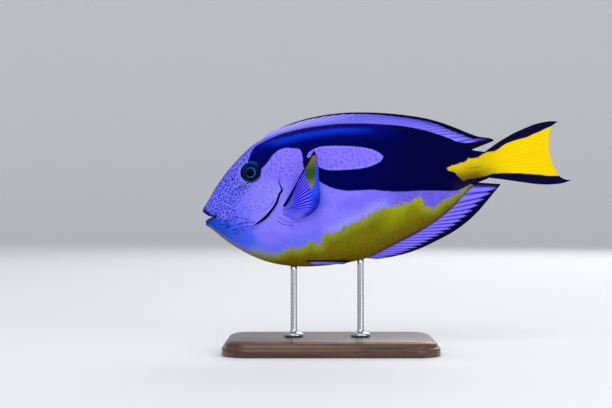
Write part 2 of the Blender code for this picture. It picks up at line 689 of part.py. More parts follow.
def build_stand_base(wood):
    """Flat base with round corners and a small chamfer round its top."""
    rings = []
    for z, inset in ((0.0, 0.0), (BASE_THICKNESS - BASE_BEVEL, 0.0), (BASE_THICKNESS, BASE_BEVEL)):
        shape = rounded_rectangle(
            BASE_LENGTH - 2 * inset, BASE_WIDTH - 2 * inset, BASE_CORNER - inset
        )
        rings.append([(x + BASE_CENTRE_X, y, z) for x, y in shape])
    loft("stand_base", rings, material=wood)


def build_stand_rod(name, x, steel, clearance):
    """Turned rod with a round foot on the base; its top is cut to the shape of the belly."""
    low = BASE_THICKNESS + TOUCH_GAP
    foot = low + ROD_FOOT_HEIGHT
    high = BASE_THICKNESS + BELLY_CLEARANCE + ROD_OVERRUN
    profile = [
        (ROD_FOOT_RADIUS, low), (ROD_FOOT_RADIUS, foot - ROD_FOOT_EDGE),
        (ROD_FOOT_RADIUS - ROD_FOOT_EDGE, foot), (ROD_RADIUS + ROD_FOOT_EDGE, foot),
        (ROD_RADIUS, foot + ROD_FOOT_EDGE), (ROD_RADIUS, high),
    ]
    turns = [2 * math.pi * k / ROD_SIDES for k in range(ROD_SIDES)]
    rings = [[(x + r * math.cos(t), r * math.sin(t), z) for t in turns] for r, z in profile]
    cut(loft(name, rings, material=steel), [clearance])


def main():
    for old in list(bpy.data.objects):
        bpy.data.objects.remove(old, do_unlink=True)
    skin = material("skin_blue", (0.16, 0.13, 0.86), 0.42)
    fins = material("fin_violet", (0.13, 0.08, 0.72), 0.45)
    tail = material("tail_yellow", (0.90, 0.66, 0.01), 0.45)
    glassy = material("eye_dark", (0.01, 0.01, 0.03), 0.08)
    bone = material("scalpel_pale", (0.80, 0.62, 0.10), 0.35)
    wood = material("base_wood", (0.10, 0.05, 0.03), 0.40)
    steel = material("rod_steel", (0.62, 0.62, 0.64), 0.28, metallic=1.0)

    fish = bpy.data.objects.new("fish_pose", None)
    bpy.context.scene.collection.objects.link(fish)
    fish.rotation_euler = (0.0, math.radians(-PITCH_DEG), 0.0)
    belly_height = BASE_THICKNESS + BELLY_CLEARANCE
    fish.location = (SNOUT_X * MM, 0.0, (belly_height + SNOUT_ABOVE_BELLY) * MM)

    places = stations(TRUNK_START, STALK_END, TRUNK_RINGS + STALK_RINGS)
    rings = [body_ring(s, TRUNK_SIDES, grow=TOUCH_GAP) for s in places]
    clearance = loft("body_clearance", rings, parent=fish, cutter=True)

    build_head(fish, skin)
    build_trunk(fish, skin)
    build_tail_stalk(fish, skin)
    build_median_fins(fish, fins, clearance)
    build_caudal_fin(fish, tail)
    build_paired_fins(fish, fins, clearance)
    build_eyes_and_scalpels(fish, glassy, bone)
    build_stand_base(wood)
    build_stand_rod("stand_rod_front", FRONT_ROD_X, steel, clearance)
    build_stand_rod("stand_rod_rear", REAR_ROD_X, steel, clearance)


main()
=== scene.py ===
"""Looks of the regal blue tang display model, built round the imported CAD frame.

Shapes are worked out in the fish's own axes, in millimetres, as in the CAD: s runs from the
snout (0) back towards the tail, h is the height above the line from the mouth to the middle of
the tail stalk, and y is sideways, with the fish's left at -y. One matrix then tilts the fish
nose-down and lifts it onto its stand, in metres.
"""

import math

import bpy
import numpy as np
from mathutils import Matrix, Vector


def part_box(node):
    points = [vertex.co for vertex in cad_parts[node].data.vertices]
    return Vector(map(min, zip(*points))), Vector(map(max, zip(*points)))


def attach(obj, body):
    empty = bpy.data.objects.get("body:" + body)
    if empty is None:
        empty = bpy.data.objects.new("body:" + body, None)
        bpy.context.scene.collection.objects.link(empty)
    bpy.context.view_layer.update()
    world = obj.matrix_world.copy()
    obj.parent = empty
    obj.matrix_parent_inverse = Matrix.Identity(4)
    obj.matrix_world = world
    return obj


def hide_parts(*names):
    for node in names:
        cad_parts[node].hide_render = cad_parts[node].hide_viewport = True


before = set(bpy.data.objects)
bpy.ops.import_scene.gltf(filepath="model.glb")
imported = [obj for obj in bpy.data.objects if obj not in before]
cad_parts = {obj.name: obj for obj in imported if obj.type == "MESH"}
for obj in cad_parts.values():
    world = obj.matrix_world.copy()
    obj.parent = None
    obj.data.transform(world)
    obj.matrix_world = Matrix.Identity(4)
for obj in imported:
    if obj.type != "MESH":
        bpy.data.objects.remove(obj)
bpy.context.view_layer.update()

MM = 0.001
SIDES = ((-1, "left"), (1, "right"))

# Pose of the fish over its stand
PITCH_DEG = 9.5
SNOUT_X, SNOUT_Z = -110.2, 82.9

# Side outlines of the body without its fins: (s, h)
BACK = [
    (0.0, 2.2), (2.0, 5.1), (4.5, 7.9), (8.0, 12.4), (12.5, 17.3), (17.5, 22.2), (22.5, 26.4),
    (28.5, 31.0), (35.0, 35.3), (40.0, 37.5), (46.0, 38.6), (57.0, 39.6), (70.0, 40.3), (84.0, 39.9),
    (100.0, 37.9), (118.0, 34.0), (135.0, 28.5), (149.0, 21.9), (159.0, 15.4), (166.0, 11.0),
    (172.5, 8.9), (181.5, 5.2),
]
BELLY = [
    (0.0, -5.9), (3.0, -9.6), (6.5, -13.6), (12.0, -19.6), (18.0, -24.9), (25.0, -30.2),
    (33.0, -34.8), (43.0, -38.7), (55.0, -41.5), (68.0, -42.9), (80.0, -43.3), (90.0, -42.8),
    (97.0, -41.3), (110.0, -37.2), (125.0, -32.4), (138.0, -26.9), (149.0, -20.4), (157.0, -14.0),
    (164.5, -9.2), (172.5, -7.2), (181.5, -3.6),
]
# Half the thickness at the widest level, that level, and how full the section is above and
# below it: 1 is an ellipse and less is fuller. The flesh ends in a lobe over the tail fin's root
HALF_WIDTH = [
    (0.0, 1.3), (1.5, 3.0), (4.5, 4.5), (9.0, 5.6), (15.0, 7.2), (23.0, 9.4), (31.0, 11.0),
    (42.0, 12.5), (56.0, 13.4), (72.0, 13.4), (92.0, 12.2), (112.0, 10.0), (132.0, 7.4),
    (150.0, 5.3), (162.0, 4.2), (172.5, 3.3), (177.0, 1.9), (181.5, 0.3),
]
WIDEST_LEVEL = [(0.0, -1.8), (12.0, 0.5), (31.0, 5.0), (60.0, 3.0), (110.0, 1.0), (181.5, 0.8)]
UPPER_FULLNESS = [(0.0, 0.80), (31.0, 0.78), (60.0, 0.95), (120.0, 1.05), (181.5, 0.95)]
LOWER_FULLNESS = [(0.0, 0.80), (20.0, 0.95), (60.0, 0.90), (120.0, 1.0), (181.5, 0.95)]
FACE_END, FLESH_END = 52.0, 181.5
FACE_RINGS, FLANK_RINGS, SKIN_SIDES, FACE_CROWDING = 140, 200, 336, 1.25

# Gill cover: its free edge, how high it stands, and the stretch of the edge that is open
GILL_EDGE = [
    (37.2, 44.0), (38.4, 36.5), (42.5, 29.5), (46.4, 22.0), (48.3, 14.4), (49.0, 8.5),
    (48.7, 5.0), (47.2, 1.0), (44.6, -2.7), (40.3, -7.0), (35.4, -10.3), (30.4, -12.9),
    (25.2, -15.9), (20.8, -19.8), (17.6, -25.0), (15.5, -33.0),
]
GILL_RISE, GILL_FADE, GILL_DIP, GILL_DIP_FADE = 0.75, 7.0, 0.45, 1.3
GILL_OPEN_LOW, GILL_OPEN_HIGH, GILL_OPEN_FADE = -12.5, 13.0, 4.0

# Eyes, nostrils and mouth
EYE_S, EYE_H = 32.4, 19.2
EYE_RADIUS, EYE_DOME, EYE_BACK, EYE_SUNK = 5.8, 2.2, 3.0, 0.6
ORBIT_RISE, ORBIT_SPREAD, SOCKET_DEPTH = 0.55, 1.3, 2.2
NOSTRILS = [(20.6, 17.3, 0.75), (16.9, 16.7, 0.55)]
NOSTRIL_DEPTH, NOSTRIL_RIM = 0.9, 0.22
# How far back the mouth opens at each level: (h, s)
MOUTH_DEPTH = [
    (-7.0, -1.5), (-6.4, 0.4), (-5.6, 1.3), (-4.5, 2.2), (-3.7, 3.6), (-2.95, 6.6), (-2.85, 6.6),
    (-1.9, 3.6), (-0.8, 2.6), (0.6, 1.2), (1.5, -0.3), (2.1, -1.0),
]
UPPER_LIP, LOWER_LIP = ((0.95, 1.5), (6.8, -2.5)), ((1.55, -5.4), (6.8, -3.4))
LIP_SIDEWAYS, LIP_FRONT_RADIUS, LIP_CORNER_RADIUS, LIP_DROOP = 4.6, 1.25, 0.35, 2.0

# Edges of the markings in side view: (s, h)
BLACK_EDGE = [
    (31.2, 24.5), (32.0, 26.4), (32.9, 28.6), (34.6, 31.4), (36.8, 34.0), (39.0, 35.3), (41.5, 36.2),
    (46.5, 37.8), (51.0, 38.9), (55.0, 40.4), (62.0, 46.0), (120.0, 48.0), (235.0, 48.0),
    (235.0, -45.0), (172.0, -20.0), (165.0, -13.0), (161.5, -9.2), (158.5, -9.8), (155.0, -10.8),
    (151.0, -11.4), (142.1, -9.9), (130.3, -7.9), (118.3, -6.5), (109.5, -4.7), (101.9, -2.7),
    (94.7, -1.8), (87.6, -0.9), (82.9, 0.5), (77.2, 3.1), (72.9, 6.3), (70.8, 8.5), (67.1, 11.8),
    (64.7, 15.3), (63.7, 19.1), (64.1, 22.1), (64.2, 25.1), (63.2, 28.2), (58.8, 29.7), (55.0, 30.4),
    (51.9, 30.1), (49.0, 28.8), (46.3, 27.0), (44.4, 24.9), (41.6, 22.3), (39.4, 20.7), (38.0, 19.0),
    (34.5, 18.0), (31.5, 20.5),
]
OVAL_EDGE = [
    (66.8, 22.8), (68.2, 25.4), (71.5, 26.9), (75.9, 27.7), (84.3, 26.8), (93.1, 25.1),
    (101.3, 22.9), (107.0, 20.4), (110.7, 17.3), (111.4, 15.4), (109.4, 13.3), (104.3, 11.7),
    (98.1, 11.0), (90.8, 11.5), (81.9, 12.5), (76.0, 14.0), (72.2, 16.8), (71.5, 20.8), (69.5, 22.5),
]
PATCH_EDGE = [
    (36.0, 17.0), (39.4, 20.7), (44.4, 24.9), (49.0, 28.8), (55.0, 30.4), (63.2, 28.2), (64.2, 22.0),
    (64.7, 15.3), (60.0, 12.0), (50.0, 14.0),
]
TAIL_EDGE = [
    (148.2, 2.5), (150.6, 3.6), (153.8, 4.0), (156.9, 4.4), (159.4, 4.3), (160.3, 5.7), (163.4, 6.1),
    (167.2, 6.1), (171.5, 7.6), (174.7, 8.3), (179.4, 8.4), (184.4, 10.7), (190.9, 12.4),
    (199.3, 13.4), (205.8, 15.0), (214.8, 17.4), (230.0, 21.0), (230.0, -16.0), (214.4, -12.8),
    (208.3, -11.8), (203.2, -10.2), (191.3, -7.4), (183.2, -5.9), (175.6, -4.9), (172.4, -5.3),
    (169.2, -5.7), (164.6, -5.9), (160.2, -5.8), (157.9, -6.3), (156.1, -6.0), (154.1, -3.5),
    (152.4, -0.4), (150.1, 0.6),
]
BELLY_EDGE = [
    (24.0, -26.5), (27.9, -27.2), (39.0, -30.6), (47.6, -28.4), (54.0, -29.5), (62.1, -26.3),
    (64.1, -29.6), (66.9, -28.1), (68.6, -23.8), (76.6, -24.2), (84.2, -20.9), (92.1, -19.2),
    (95.7, -17.9), (99.6, -16.2), (104.8, -14.6), (110.9, -14.4), (117.0, -14.2), (123.3, -12.8),
    (127.8, -11.7), (129.6, -11.9), (131.1, -13.2), (132.4, -18.0), (136.8, -19.1), (142.2, -16.1),
    (146.6, -14.8), (150.1, -12.9), (155.3, -11.5), (160.8, -8.5), (168.0, -9.0), (170.0, -30.0),
    (100.0, -60.0), (40.0, -60.0), (20.0, -40.0),
]
DOTTED_EDGE = [
    (38.0, 34.0), (33.0, 25.0), (25.0, 21.0), (26.0, 14.5), (33.0, 14.0), (30.0, 9.0), (28.0, 8.0),
    (24.0, 4.0), (21.0, 1.5), (20.0, -2.0), (21.0, -5.5), (10.0, -7.0), (3.0, -4.0), (-4.0, 2.0),
    (8.0, 20.0), (24.0, 36.0),
]
CHEEK_EDGE = [
    (33.0, 14.0), (40.0, 18.0), (45.0, 23.5), (51.0, 26.0), (56.0, 20.0), (56.0, 11.0), (52.0, 4.0),
    (44.0, 4.0), (38.0, -2.0), (30.0, -5.0), (20.0, -5.0), (24.0, 4.0), (28.0, 8.0),
]
CHIN_EDGE = [
    (1.3, -2.9), (6.5, -4.6), (11.7, -7.8), (18.9, -11.3), (26.1, -14.8), (28.9, -21.1),
    (24.0, -24.0), (14.1, -19.0), (4.0, -12.0), (-2.0, -6.0),
]
THROAT_EDGE = [(2.0, -9.0), (5.1, -12.5), (8.5, -15.8), (11.8, -19.1), (16.9, -23.4), (22.1, -27.4), (27.3, -31.0)]
GILL_SLIT = [
    (48.1, 14.2), (48.1, 11.1), (48.6, 8.3), (48.9, 6.0), (47.1, 3.8), (44.3, -1.2), (40.5, -5.2),
    (37.0, -8.1), (33.1, -10.2), (30.6, -11.3), (28.5, -12.1), (26.5, -12.6),
]
GILL_SLIT_HALF = [
    (0.0, 0.2), (0.27, 0.5), (0.36, 0.7), (0.5, 0.78), (0.64, 0.88), (0.73, 0.7), (0.82, 0.45),
    (0.91, 0.2), (1.0, 0.0),
]
CHEEK_LINE = [(34.1, -4.1), (37.3, -3.5), (39.9, -2.4), (42.1, -0.4), (43.2, 1.0)]
LIP_LINES = (
    [(-0.3, 2.6), (1.2, 0.8), (3.2, -1.6), (6.5, -2.8)], [(0.8, -5.8), (2.6, -4.2), (6.5, -3.1)],
)
MOUTH_LINE = [(-0.4, 2.0), (1.0, 1.2), (2.5, -0.2), (4.0, -2.1), (5.5, -2.9), (7.4, -2.6)]
JAW_FOLDS = (
    [(11.9, -7.0), (16.5, -7.0), (19.8, -6.0), (23.2, -6.6)],
    [(7.8, -7.9), (11.6, -8.7), (13.6, -8.5)],
    [(13.2, -10.5), (16.0, -10.0), (19.2, -9.4), (23.0, -10.1)],
    [(15.6, -12.7), (18.7, -12.4), (22.8, -11.6), (28.5, -12.1)],
    [(44.5, -9.4), (47.5, -12.2), (52.0, -14.0), (57.5, -14.3)],
    [(43.0, -11.6), (46.6, -14.2), (51.5, -15.8)],
)
FOLDED_EDGE = [
    (8.0, -5.0), (14.0, -4.6), (27.4, -6.4), (30.4, -11.5), (28.3, -14.2), (18.2, -15.8), (10.0, -10.0),
]
LONE_DOTS = [
    (44.8, 24.9, 0.3), (46.6, 21.5, 0.4), (43.6, 20.0, 0.3), (43.2, 17.8, 0.25), (40.5, 17.8, 0.3),
    (35.3, 14.4, 0.3), (33.5, 13.2, 0.3), (36.7, 15.7, 0.3),
]
ANAL_BASE_LINE = [
    (95.0, -42.6), (110.0, -37.2), (126.3, -31.6), (133.7, -29.4), (141.3, -25.4), (147.6, -21.6),
    (153.1, -17.9), (157.1, -14.8), (161.2, -10.9),
]


def curve(points, x):
    """Smooth values at x of a curve through the points: cubic pieces whose slopes never overshoot."""
    px, py = (np.array(column, float) for column in zip(*points))
    step = np.diff(px)
    slope = np.diff(py) / step
    tangent = np.empty(len(px))
    tangent[0], tangent[-1] = slope[0], slope[-1]
    weight = step[1:] + 2 * step[:-1], 2 * step[1:] + step[:-1]
    same = slope[:-1] * slope[1:] > 0
    safe = np.where(same, slope[:-1], 1), np.where(same, slope[1:], 1)
    mean = (weight[0] + weight[1]) / (weight[0] / safe[0] + weight[1] / safe[1])
    tangent[1:-1] = np.where(same, mean, 0)
    x = np.clip(x, px[0], px[-1])
    i = np.clip(np.searchsorted(px, x) - 1, 0, len(step) - 1)
    t = (x - px[i]) / step[i]
    rise = py[i + 1] - py[i]
    bend = tangent[i] * step[i], tangent[i + 1] * step[i]
    return py[i] + bend[0] * t + (3 * rise - 2 * bend[0] - bend[1]) * t**2 + (
        bend[0] + bend[1] - 2 * rise
    ) * t**3


def outline(points, s):
    """An outline that starts blunt at the snout: it is smooth in the square root of s."""
    return curve([(math.sqrt(p), q) for p, q in points], np.sqrt(np.maximum(s, 0.0)))


def smoothstep(x, low, high):
    t = np.clip((x - low) / (high - low), 0.0, 1.0)
    return t * t * (3 - 2 * t)


def window(x, low, high, fade):
    """1 from low to high, fading to 0 outside them."""
    return smoothstep(x, low - fade, low) * (1 - smoothstep(x, high, high + fade))


def bell(x, middle, spread):
    return np.exp(-(((x - middle) / spread) ** 2))


def rounded(points, closed=False, steps=5):
    """The line drawn smoothly through its points."""
    p = np.array(points, float)
    count = len(p)
    ahead = [(i + 1) % count if closed else min(i + 1, count - 1) for i in range(count)]
    behind = [(i - 1) % count if closed else max(i - 1, 0) for i in range(count)]
    tangent = (p[ahead] - p[behind]) / 2
    made = []
    for i in range(count if closed else count - 1):
        j = ahead[i]
        span = np.linalg.norm(p[j] - p[i])
        m0, m1 = (t * min(1.0, span / (np.linalg.norm(t) + 1e-9)) for t in (tangent[i], tangent[j]))
        for k in range(steps):
            t = k / steps
            made.append(
                (2 * t**3 - 3 * t**2 + 1) * p[i] + (t**3 - 2 * t**2 + t) * m0
                + (3 * t**2 - 2 * t**3) * p[j] + (t**3 - t**2) * m1
            )
    if not closed:
        made.append(p[-1])
    return np.array(made)


def line_distance(line, s, h):
    """Distance of each (s, h) from the line, and how far along it the nearest point lies, 0 to 1."""
    best, along = np.full(np.shape(s), np.inf), np.zeros(np.shape(s))
    for i, ((s0, h0), (s1, h1)) in enumerate(zip(line, line[1:])):
        ds, dh = s1 - s0, h1 - h0
        t = np.clip(((s - s0) * ds + (h - h0) * dh) / max(ds * ds + dh * dh, 1e-9), 0.0, 1.0)
        found = np.hypot(s - s0 - t * ds, h - h0 - t * dh)
        nearer = found < best
        best = np.where(nearer, found, best)
        along = np.where(nearer, (i + t) / (len(line) - 1), along)
    return best, along


def depth_inside(edge, s, h):
    """Distance from a closed outline, positive inside it."""
    line = rounded(edge, closed=True, steps=4)
    line = np.vstack([line, line[:1]])
    inside = np.zeros(np.shape(s), bool)
    for (s0, h0), (s1, h1) in zip(line, line[1:]):
        if h0 == h1:
            continue
        crosses = (h0 > h) != (h1 > h)
        inside ^= crosses & (s < s0 + (h - h0) / (h1 - h0) * (s1 - s0))
    return np.where(inside, 1, -1) * line_distance(line, s, h)[0]


def section(s):
    """Top, bottom, widest level, half width and fullness above and below, at each station."""
    return (
        outline(BACK, s), outline(BELLY, s), curve(WIDEST_LEVEL, s), outline(HALF_WIDTH, s),
        curve(UPPER_FULLNESS, s), curve(LOWER_FULLNESS, s),
    )


def half_width_at(s, h):
    """Half the body's thickness at each (s, h)."""
    top, bottom, level, width, upper, lower = section(s)
    above = h > level
    rise = np.clip((h - level) / np.where(above, top - level, bottom - level), 0.0, 1.0)
    return width * np.sqrt(1 - rise * rise) ** np.where(above, upper, lower)


def body_marks(s, h):
    """The markings that skin, lips and tail fin share: edges as distances in millimetres,
    positive inside, and soft tints as shares, painted highlight and painted shade among them."""
    oval = depth_inside(OVAL_EDGE, s, h)
    belly = depth_inside(BELLY_EDGE, s, h)
    below_back, above_belly = outline(BACK, s) - h, h - outline(BELLY, s)
    # Painted highlight on the upper back: a bright blue band just under the back line, with a dimmer fringe below it
    centre = 2.2 + 1.4 * smoothstep(s, 40, 52)
    glow = bell(below_back, centre, np.where(below_back < centre, 1.4, 2.4))
    labyrinth = np.maximum(smoothstep(oval, -0.5, 0.5), smoothstep(depth_inside(PATCH_EDGE, s, h), -3, 3))
    return {
        "black": np.minimum(depth_inside(BLACK_EDGE, s, h), -oval),
        "oval_rim": bell(oval, 0.55, 0.4),
        "labyrinth": labyrinth,
        "tail": depth_inside(TAIL_EDGE, s, h),
        "belly": belly,
        "belly_soft": 0.35 + 3.4 * (1 - smoothstep(s, 30, 66)),
        "belly_grain": 0.5 + 9.0 * smoothstep(s, 48, 80),
        # Painted highlight under the back, then its dimmer fringe
        "glow": glow * window(s, 56, 92, 22) * smoothstep(below_back, 1.3, 3.0),
        "dusk": bell(below_back, 4.0, 4.5) * window(s, 40, 110, 20),
        "rear": smoothstep(s, 60, 150),
        "above_belly": above_belly,
        "gold_rim": smoothstep(-belly, -7.0, -0.5),
        "gold_rear": window(s, 112, 138, 12) * bell(above_belly, 17, 6),
        "chest": window(-belly, 0, 3, 6) * window(s, 20, 58, 14),
        "ash": bell(-belly, 2.0, 3.0) * window(s, 76, 104, 10),
        "wedge": smoothstep(s, 106, 122),
        "brown": bell(s, 158, 6.5) * bell(h, -9.5, 3.4),
        "anal_line": 0.9 - line_distance(ANAL_BASE_LINE, s, h)[0],
        "stalk": 1 - smoothstep(s, 168, 188),
        # Painted shade: the stalk darkens towards its bottom
        "stalk_low": (1 - smoothstep(h, -5.5, 3.5)) * (1 - smoothstep(s, 164, 182)),
    }


def face_marks(s, h):
    """The markings of the head."""
    slit, along = line_distance(rounded(GILL_SLIT), s, h)
    eye = np.hypot(s - EYE_S, h - EYE_H)
    angle = np.degrees(np.arctan2(h - EYE_H, EYE_S - s))
    dense = smoothstep(depth_inside(DOTTED_EDGE, s, h), -1.0, 1.0)
    sparse = smoothstep(depth_inside(CHEEK_EDGE, s, h), -1.5, 1.5)
    chin = smoothstep(depth_inside(CHIN_EDGE, s, h), -3.5, 2.5)
    folds = [0.3 - line_distance(rounded(line), s, h)[0] for line in JAW_FOLDS]
    to_lip = np.minimum(*(line_distance(line, s, h)[0] for line in LIP_LINES))
    dots = [radius - np.hypot(s - s0, h - h0) for s0, h0, radius in LONE_DOTS]
    return {
        "dotted": np.maximum(dense, (0.5 - 0.18 * smoothstep(s, 40, 48)) * sparse),
        "snout": np.maximum(1 - smoothstep(s, 16, 34), 0.7 * bell(s, 45, 8) * bell(h, 26, 6)),
        "cheek": bell(s, 41, 13) * bell(h, 2, 13),
        "chin": chin,
        "chin_deep": chin * (1 - smoothstep(s, 6, 28)),
        "throat": 1 - smoothstep(line_distance(THROAT_EDGE, s, h)[0], 0.4, 2.6),
        "olive": bell(line_distance([(26.7, 14.3), (31.3, 13.7)], s, h)[0], 0, 1.0),
        "murk": bell(line_distance([(23.5, 10.5), (27.5, 12.4)], s, h)[0], 0, 1.6),
        # Painted shade: a dark crescent in the gill opening along the slit
        "slit": curve(GILL_SLIT_HALF, along) - slit,
        "cheek_line": 0.26 - line_distance(rounded(CHEEK_LINE), s, h)[0],
        "fold": np.maximum.reduce(folds),
        "lip": bell(to_lip, 0, 1.7),
        # Painted shade along the slit between the lips
        "mouth": 0.75 - line_distance(rounded(MOUTH_LINE), s, h)[0],
        "folded": smoothstep(depth_inside(FOLDED_EDGE, s, h), -1.5, 2.5),
        "lone_dot": np.maximum.reduce(dots),
        "orbit": EYE_RADIUS + 0.05 + 0.4 * smoothstep(h, EYE_H - 5, EYE_H) - eye,
        "orbit_teal": bell(eye, EYE_RADIUS + 0.5, 0.3) * window(angle, 45, 125, 25),
        "orbit_lilac": bell(eye, EYE_RADIUS + 1.0, 0.35) * window(angle, 5, 55, 12),
    }


def to_world(points):
    """Points (s, y, h) in the fish's axes as metres in the frame."""
    tilt = math.radians(PITCH_DEG)
    s, y, h = np.asarray(points, float).reshape(-1, 3).T
    x = SNOUT_X + s * math.cos(tilt) - h * math.sin(tilt)
    z = SNOUT_Z + s * math.sin(tilt) + h * math.cos(tilt)
    return np.stack([x, y, z], axis=1) * MM


def mesh_piece(name, points, faces, material, marks, replaces=(), world=False):
    """A smooth-shaded piece that rides on the model, with its marks as point attributes."""
    mesh = bpy.data.meshes.new(name)
    placed = np.asarray(points, float) * MM if world else to_world(points)
    mesh.from_pydata(placed.tolist(), [], faces)
    mesh.validate()
    for key, values in marks.items():
        if np.ndim(values) == 2:
            made = mesh.attributes.new(key, "FLOAT_VECTOR", "POINT")
            made.data.foreach_set("vector", np.asarray(values, np.float32).ravel())
        else:
            made = mesh.attributes.new(key, "FLOAT", "POINT")
            made.data.foreach_set("value", np.asarray(values, np.float32).ravel())
    mesh.shade_smooth()
    mesh.materials.append(material)
    piece = bpy.data.objects.new(name, mesh)
    bpy.context.scene.collection.objects.link(piece)
    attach(piece, "root")
    if replaces:
        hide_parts(*replaces)
    return piece


def tube_faces(rings, sides):
    """Faces of a grid of rings with its ends filled, turned outwards for rings that run
    anticlockwise seen from ahead of the first."""
    faces = []
    for r in range(rings - 1):
        for k in range(sides):
            a, b = r * sides + k, r * sides + (k + 1) % sides
            faces.append((a, b, b + sides, a + sides))
    faces.append(tuple(range(sides))[::-1])
    faces.append(tuple((rings - 1) * sides + k for k in range(sides)))
    return faces


def grid_normals(grid, wrap):
    """Unit normals of a grid of points (rings, sides, 3)."""
    along = np.gradient(grid, axis=0)
    if wrap:
        around = np.roll(grid, -1, axis=1) - np.roll(grid, 1, axis=1)
    else:
        around = np.gradient(grid, axis=1)
    normal = np.cross(along, around)
    return normal / np.maximum(np.linalg.norm(normal, axis=2, keepdims=True), 1e-12)


def gill_step(s, h):
    """How far the skin stands out near the edge of the gill cover."""
    rows = sorted((h0, s0) for s0, h0 in GILL_EDGE)
    ahead = s < curve(rows, h)
    distance = line_distance(rounded(GILL_EDGE), s, h)[0]
    cover = GILL_RISE * np.maximum(0.0, 1 - distance / GILL_FADE) ** 2
    behind = -GILL_DIP * bell(distance, 0, GILL_DIP_FADE)
    return np.where(ahead, cover, behind) * window(h, GILL_OPEN_LOW, GILL_OPEN_HIGH, GILL_OPEN_FADE)


def build_skin(material):
    """One skin from snout to tail stalk, with socket rims, nostrils, gill cover and open mouth."""
    face = FACE_END * (np.arange(FACE_RINGS) / FACE_RINGS) ** FACE_CROWDING
    flank = FACE_END + (FLESH_END - FACE_END) * np.arange(FLANK_RINGS + 1) / FLANK_RINGS
    s = np.concatenate([face, flank])[:, None]
    angle = 2 * np.pi * np.arange(SKIN_SIDES)[None, :] / SKIN_SIDES - np.pi / 2
    across, up = np.cos(angle), np.sin(angle)
    top, bottom, level, width, upper, lower = section(s)
    h = level + np.where(up > 0, top - level, level - bottom) * up
    y = -np.sign(across) * width * np.abs(across) ** np.where(up > 0, upper, lower)
    s_all = np.broadcast_to(s, h.shape)
    grid = np.stack([s_all, y, h], axis=2)

    normal = grid_normals(grid, wrap=True)
    normal *= np.sign((normal * (grid - [0, 0, 1])).sum(axis=2).mean())
    eye = np.hypot(s_all - EYE_S, h - EYE_H)
    push = gill_step(s_all, h)
    push += ORBIT_RISE * bell(eye, EYE_RADIUS + 0.5, ORBIT_SPREAD)
    push -= SOCKET_DEPTH * (1 - smoothstep(eye, EYE_RADIUS - 0.9, EYE_RADIUS + 0.25))
    pore = np.zeros_like(h)
    for s0, h0, radius in NOSTRILS:
        from_pore = np.hypot(s_all - s0, h - h0)
        push += NOSTRIL_RIM * bell(from_pore, radius * 1.5, 0.5)
        push -= NOSTRIL_DEPTH * (1 - smoothstep(from_pore, 0.4 * radius, 1.3 * radius))
        # The nostril pits are painted dark inside as painted shade
        pore = np.maximum(pore, 1 - smoothstep(from_pore, 0.5 * radius, 1.2 * radius))
    for line in JAW_FOLDS:
        push -= 0.16 * bell(line_distance(rounded(line), s_all, h)[0], 0, 0.55)
    grid = grid + normal * (push * np.minimum(1.0, np.abs(across) * 3))[..., None]
    pushed = np.maximum(curve(MOUTH_DEPTH, h) - s_all, 0.0)
    grid[..., 0] += pushed

    # The skin's pattern is laid out by station and by the way round from the widest level
    around = np.linalg.norm(np.diff(grid, axis=1, append=grid[:, :1]), axis=2)
    around = np.cumsum(around, axis=1) - around
    quarter = SKIN_SIDES // 4
    left = around - around[:, quarter:quarter + 1]
    mirrored = (-np.arange(SKIN_SIDES)) % SKIN_SIDES
    round_mm = np.where(across >= 0, left, left[:, mirrored])

    s_flat, h_flat = s_all.ravel(), h.ravel()
    marks = {**body_marks(s_flat, h_flat), **face_marks(s_flat, h_flat)}
    # Painted shade inside the opened mouth, where the skin is pushed back
    marks["inside"] = smoothstep(pushed.ravel(), 0.3, 1.6)
    marks["pore"] = pore.ravel()
    marks["map_mm"] = np.stack([s_flat, round_mm.ravel(), np.zeros_like(h_flat)], axis=1)
    return mesh_piece(
        "skin", grid.reshape(-1, 3), tube_faces(len(s), SKIN_SIDES), material, marks,
        ("head", "trunk", "tail_stalk"),
    )


def build_lips(material):
    """Upper and lower lip: rolls bent round the jaws, sunk in the skin."""
    steps, sides = 72, 28
    for name, (front, corner) in (("lip_upper", UPPER_LIP), ("lip_lower", LOWER_LIP)):
        turn = np.linspace(-np.pi / 2, np.pi / 2, steps + 1)
        back, fallen = 1 - np.cos(turn), np.abs(np.sin(turn)) ** LIP_DROOP
        middle = np.stack([
            front[0] + (corner[0] - front[0]) * back,
            -LIP_SIDEWAYS * np.sin(turn),
            front[1] + (corner[1] - front[1]) * fallen,
        ], axis=1)
        outward = np.stack([-np.cos(turn), -np.sin(turn), np.zeros_like(turn)], axis=1)
        radius = LIP_FRONT_RADIUS + (LIP_CORNER_RADIUS - LIP_FRONT_RADIUS) * back
        angle = 2 * np.pi * np.arange(sides) / sides
        spoke = np.cos(angle)[None, :, None] * outward[:, None]
        spoke = spoke + np.sin(angle)[None, :, None] * np.array([0, 0, 1.0])
        points = (middle[:, None] + radius[:, None, None] * spoke).reshape(-1, 3)
        s, h = points[:, 0], points[:, 2]
        marks = {**body_marks(s, h), **face_marks(s, h)}
        marks["map_mm"] = np.stack([s - np.abs(points[:, 1]), h, np.zeros_like(h)], axis=1)
        mesh_piece(name, points, tube_faces(steps + 1, sides), material, marks)


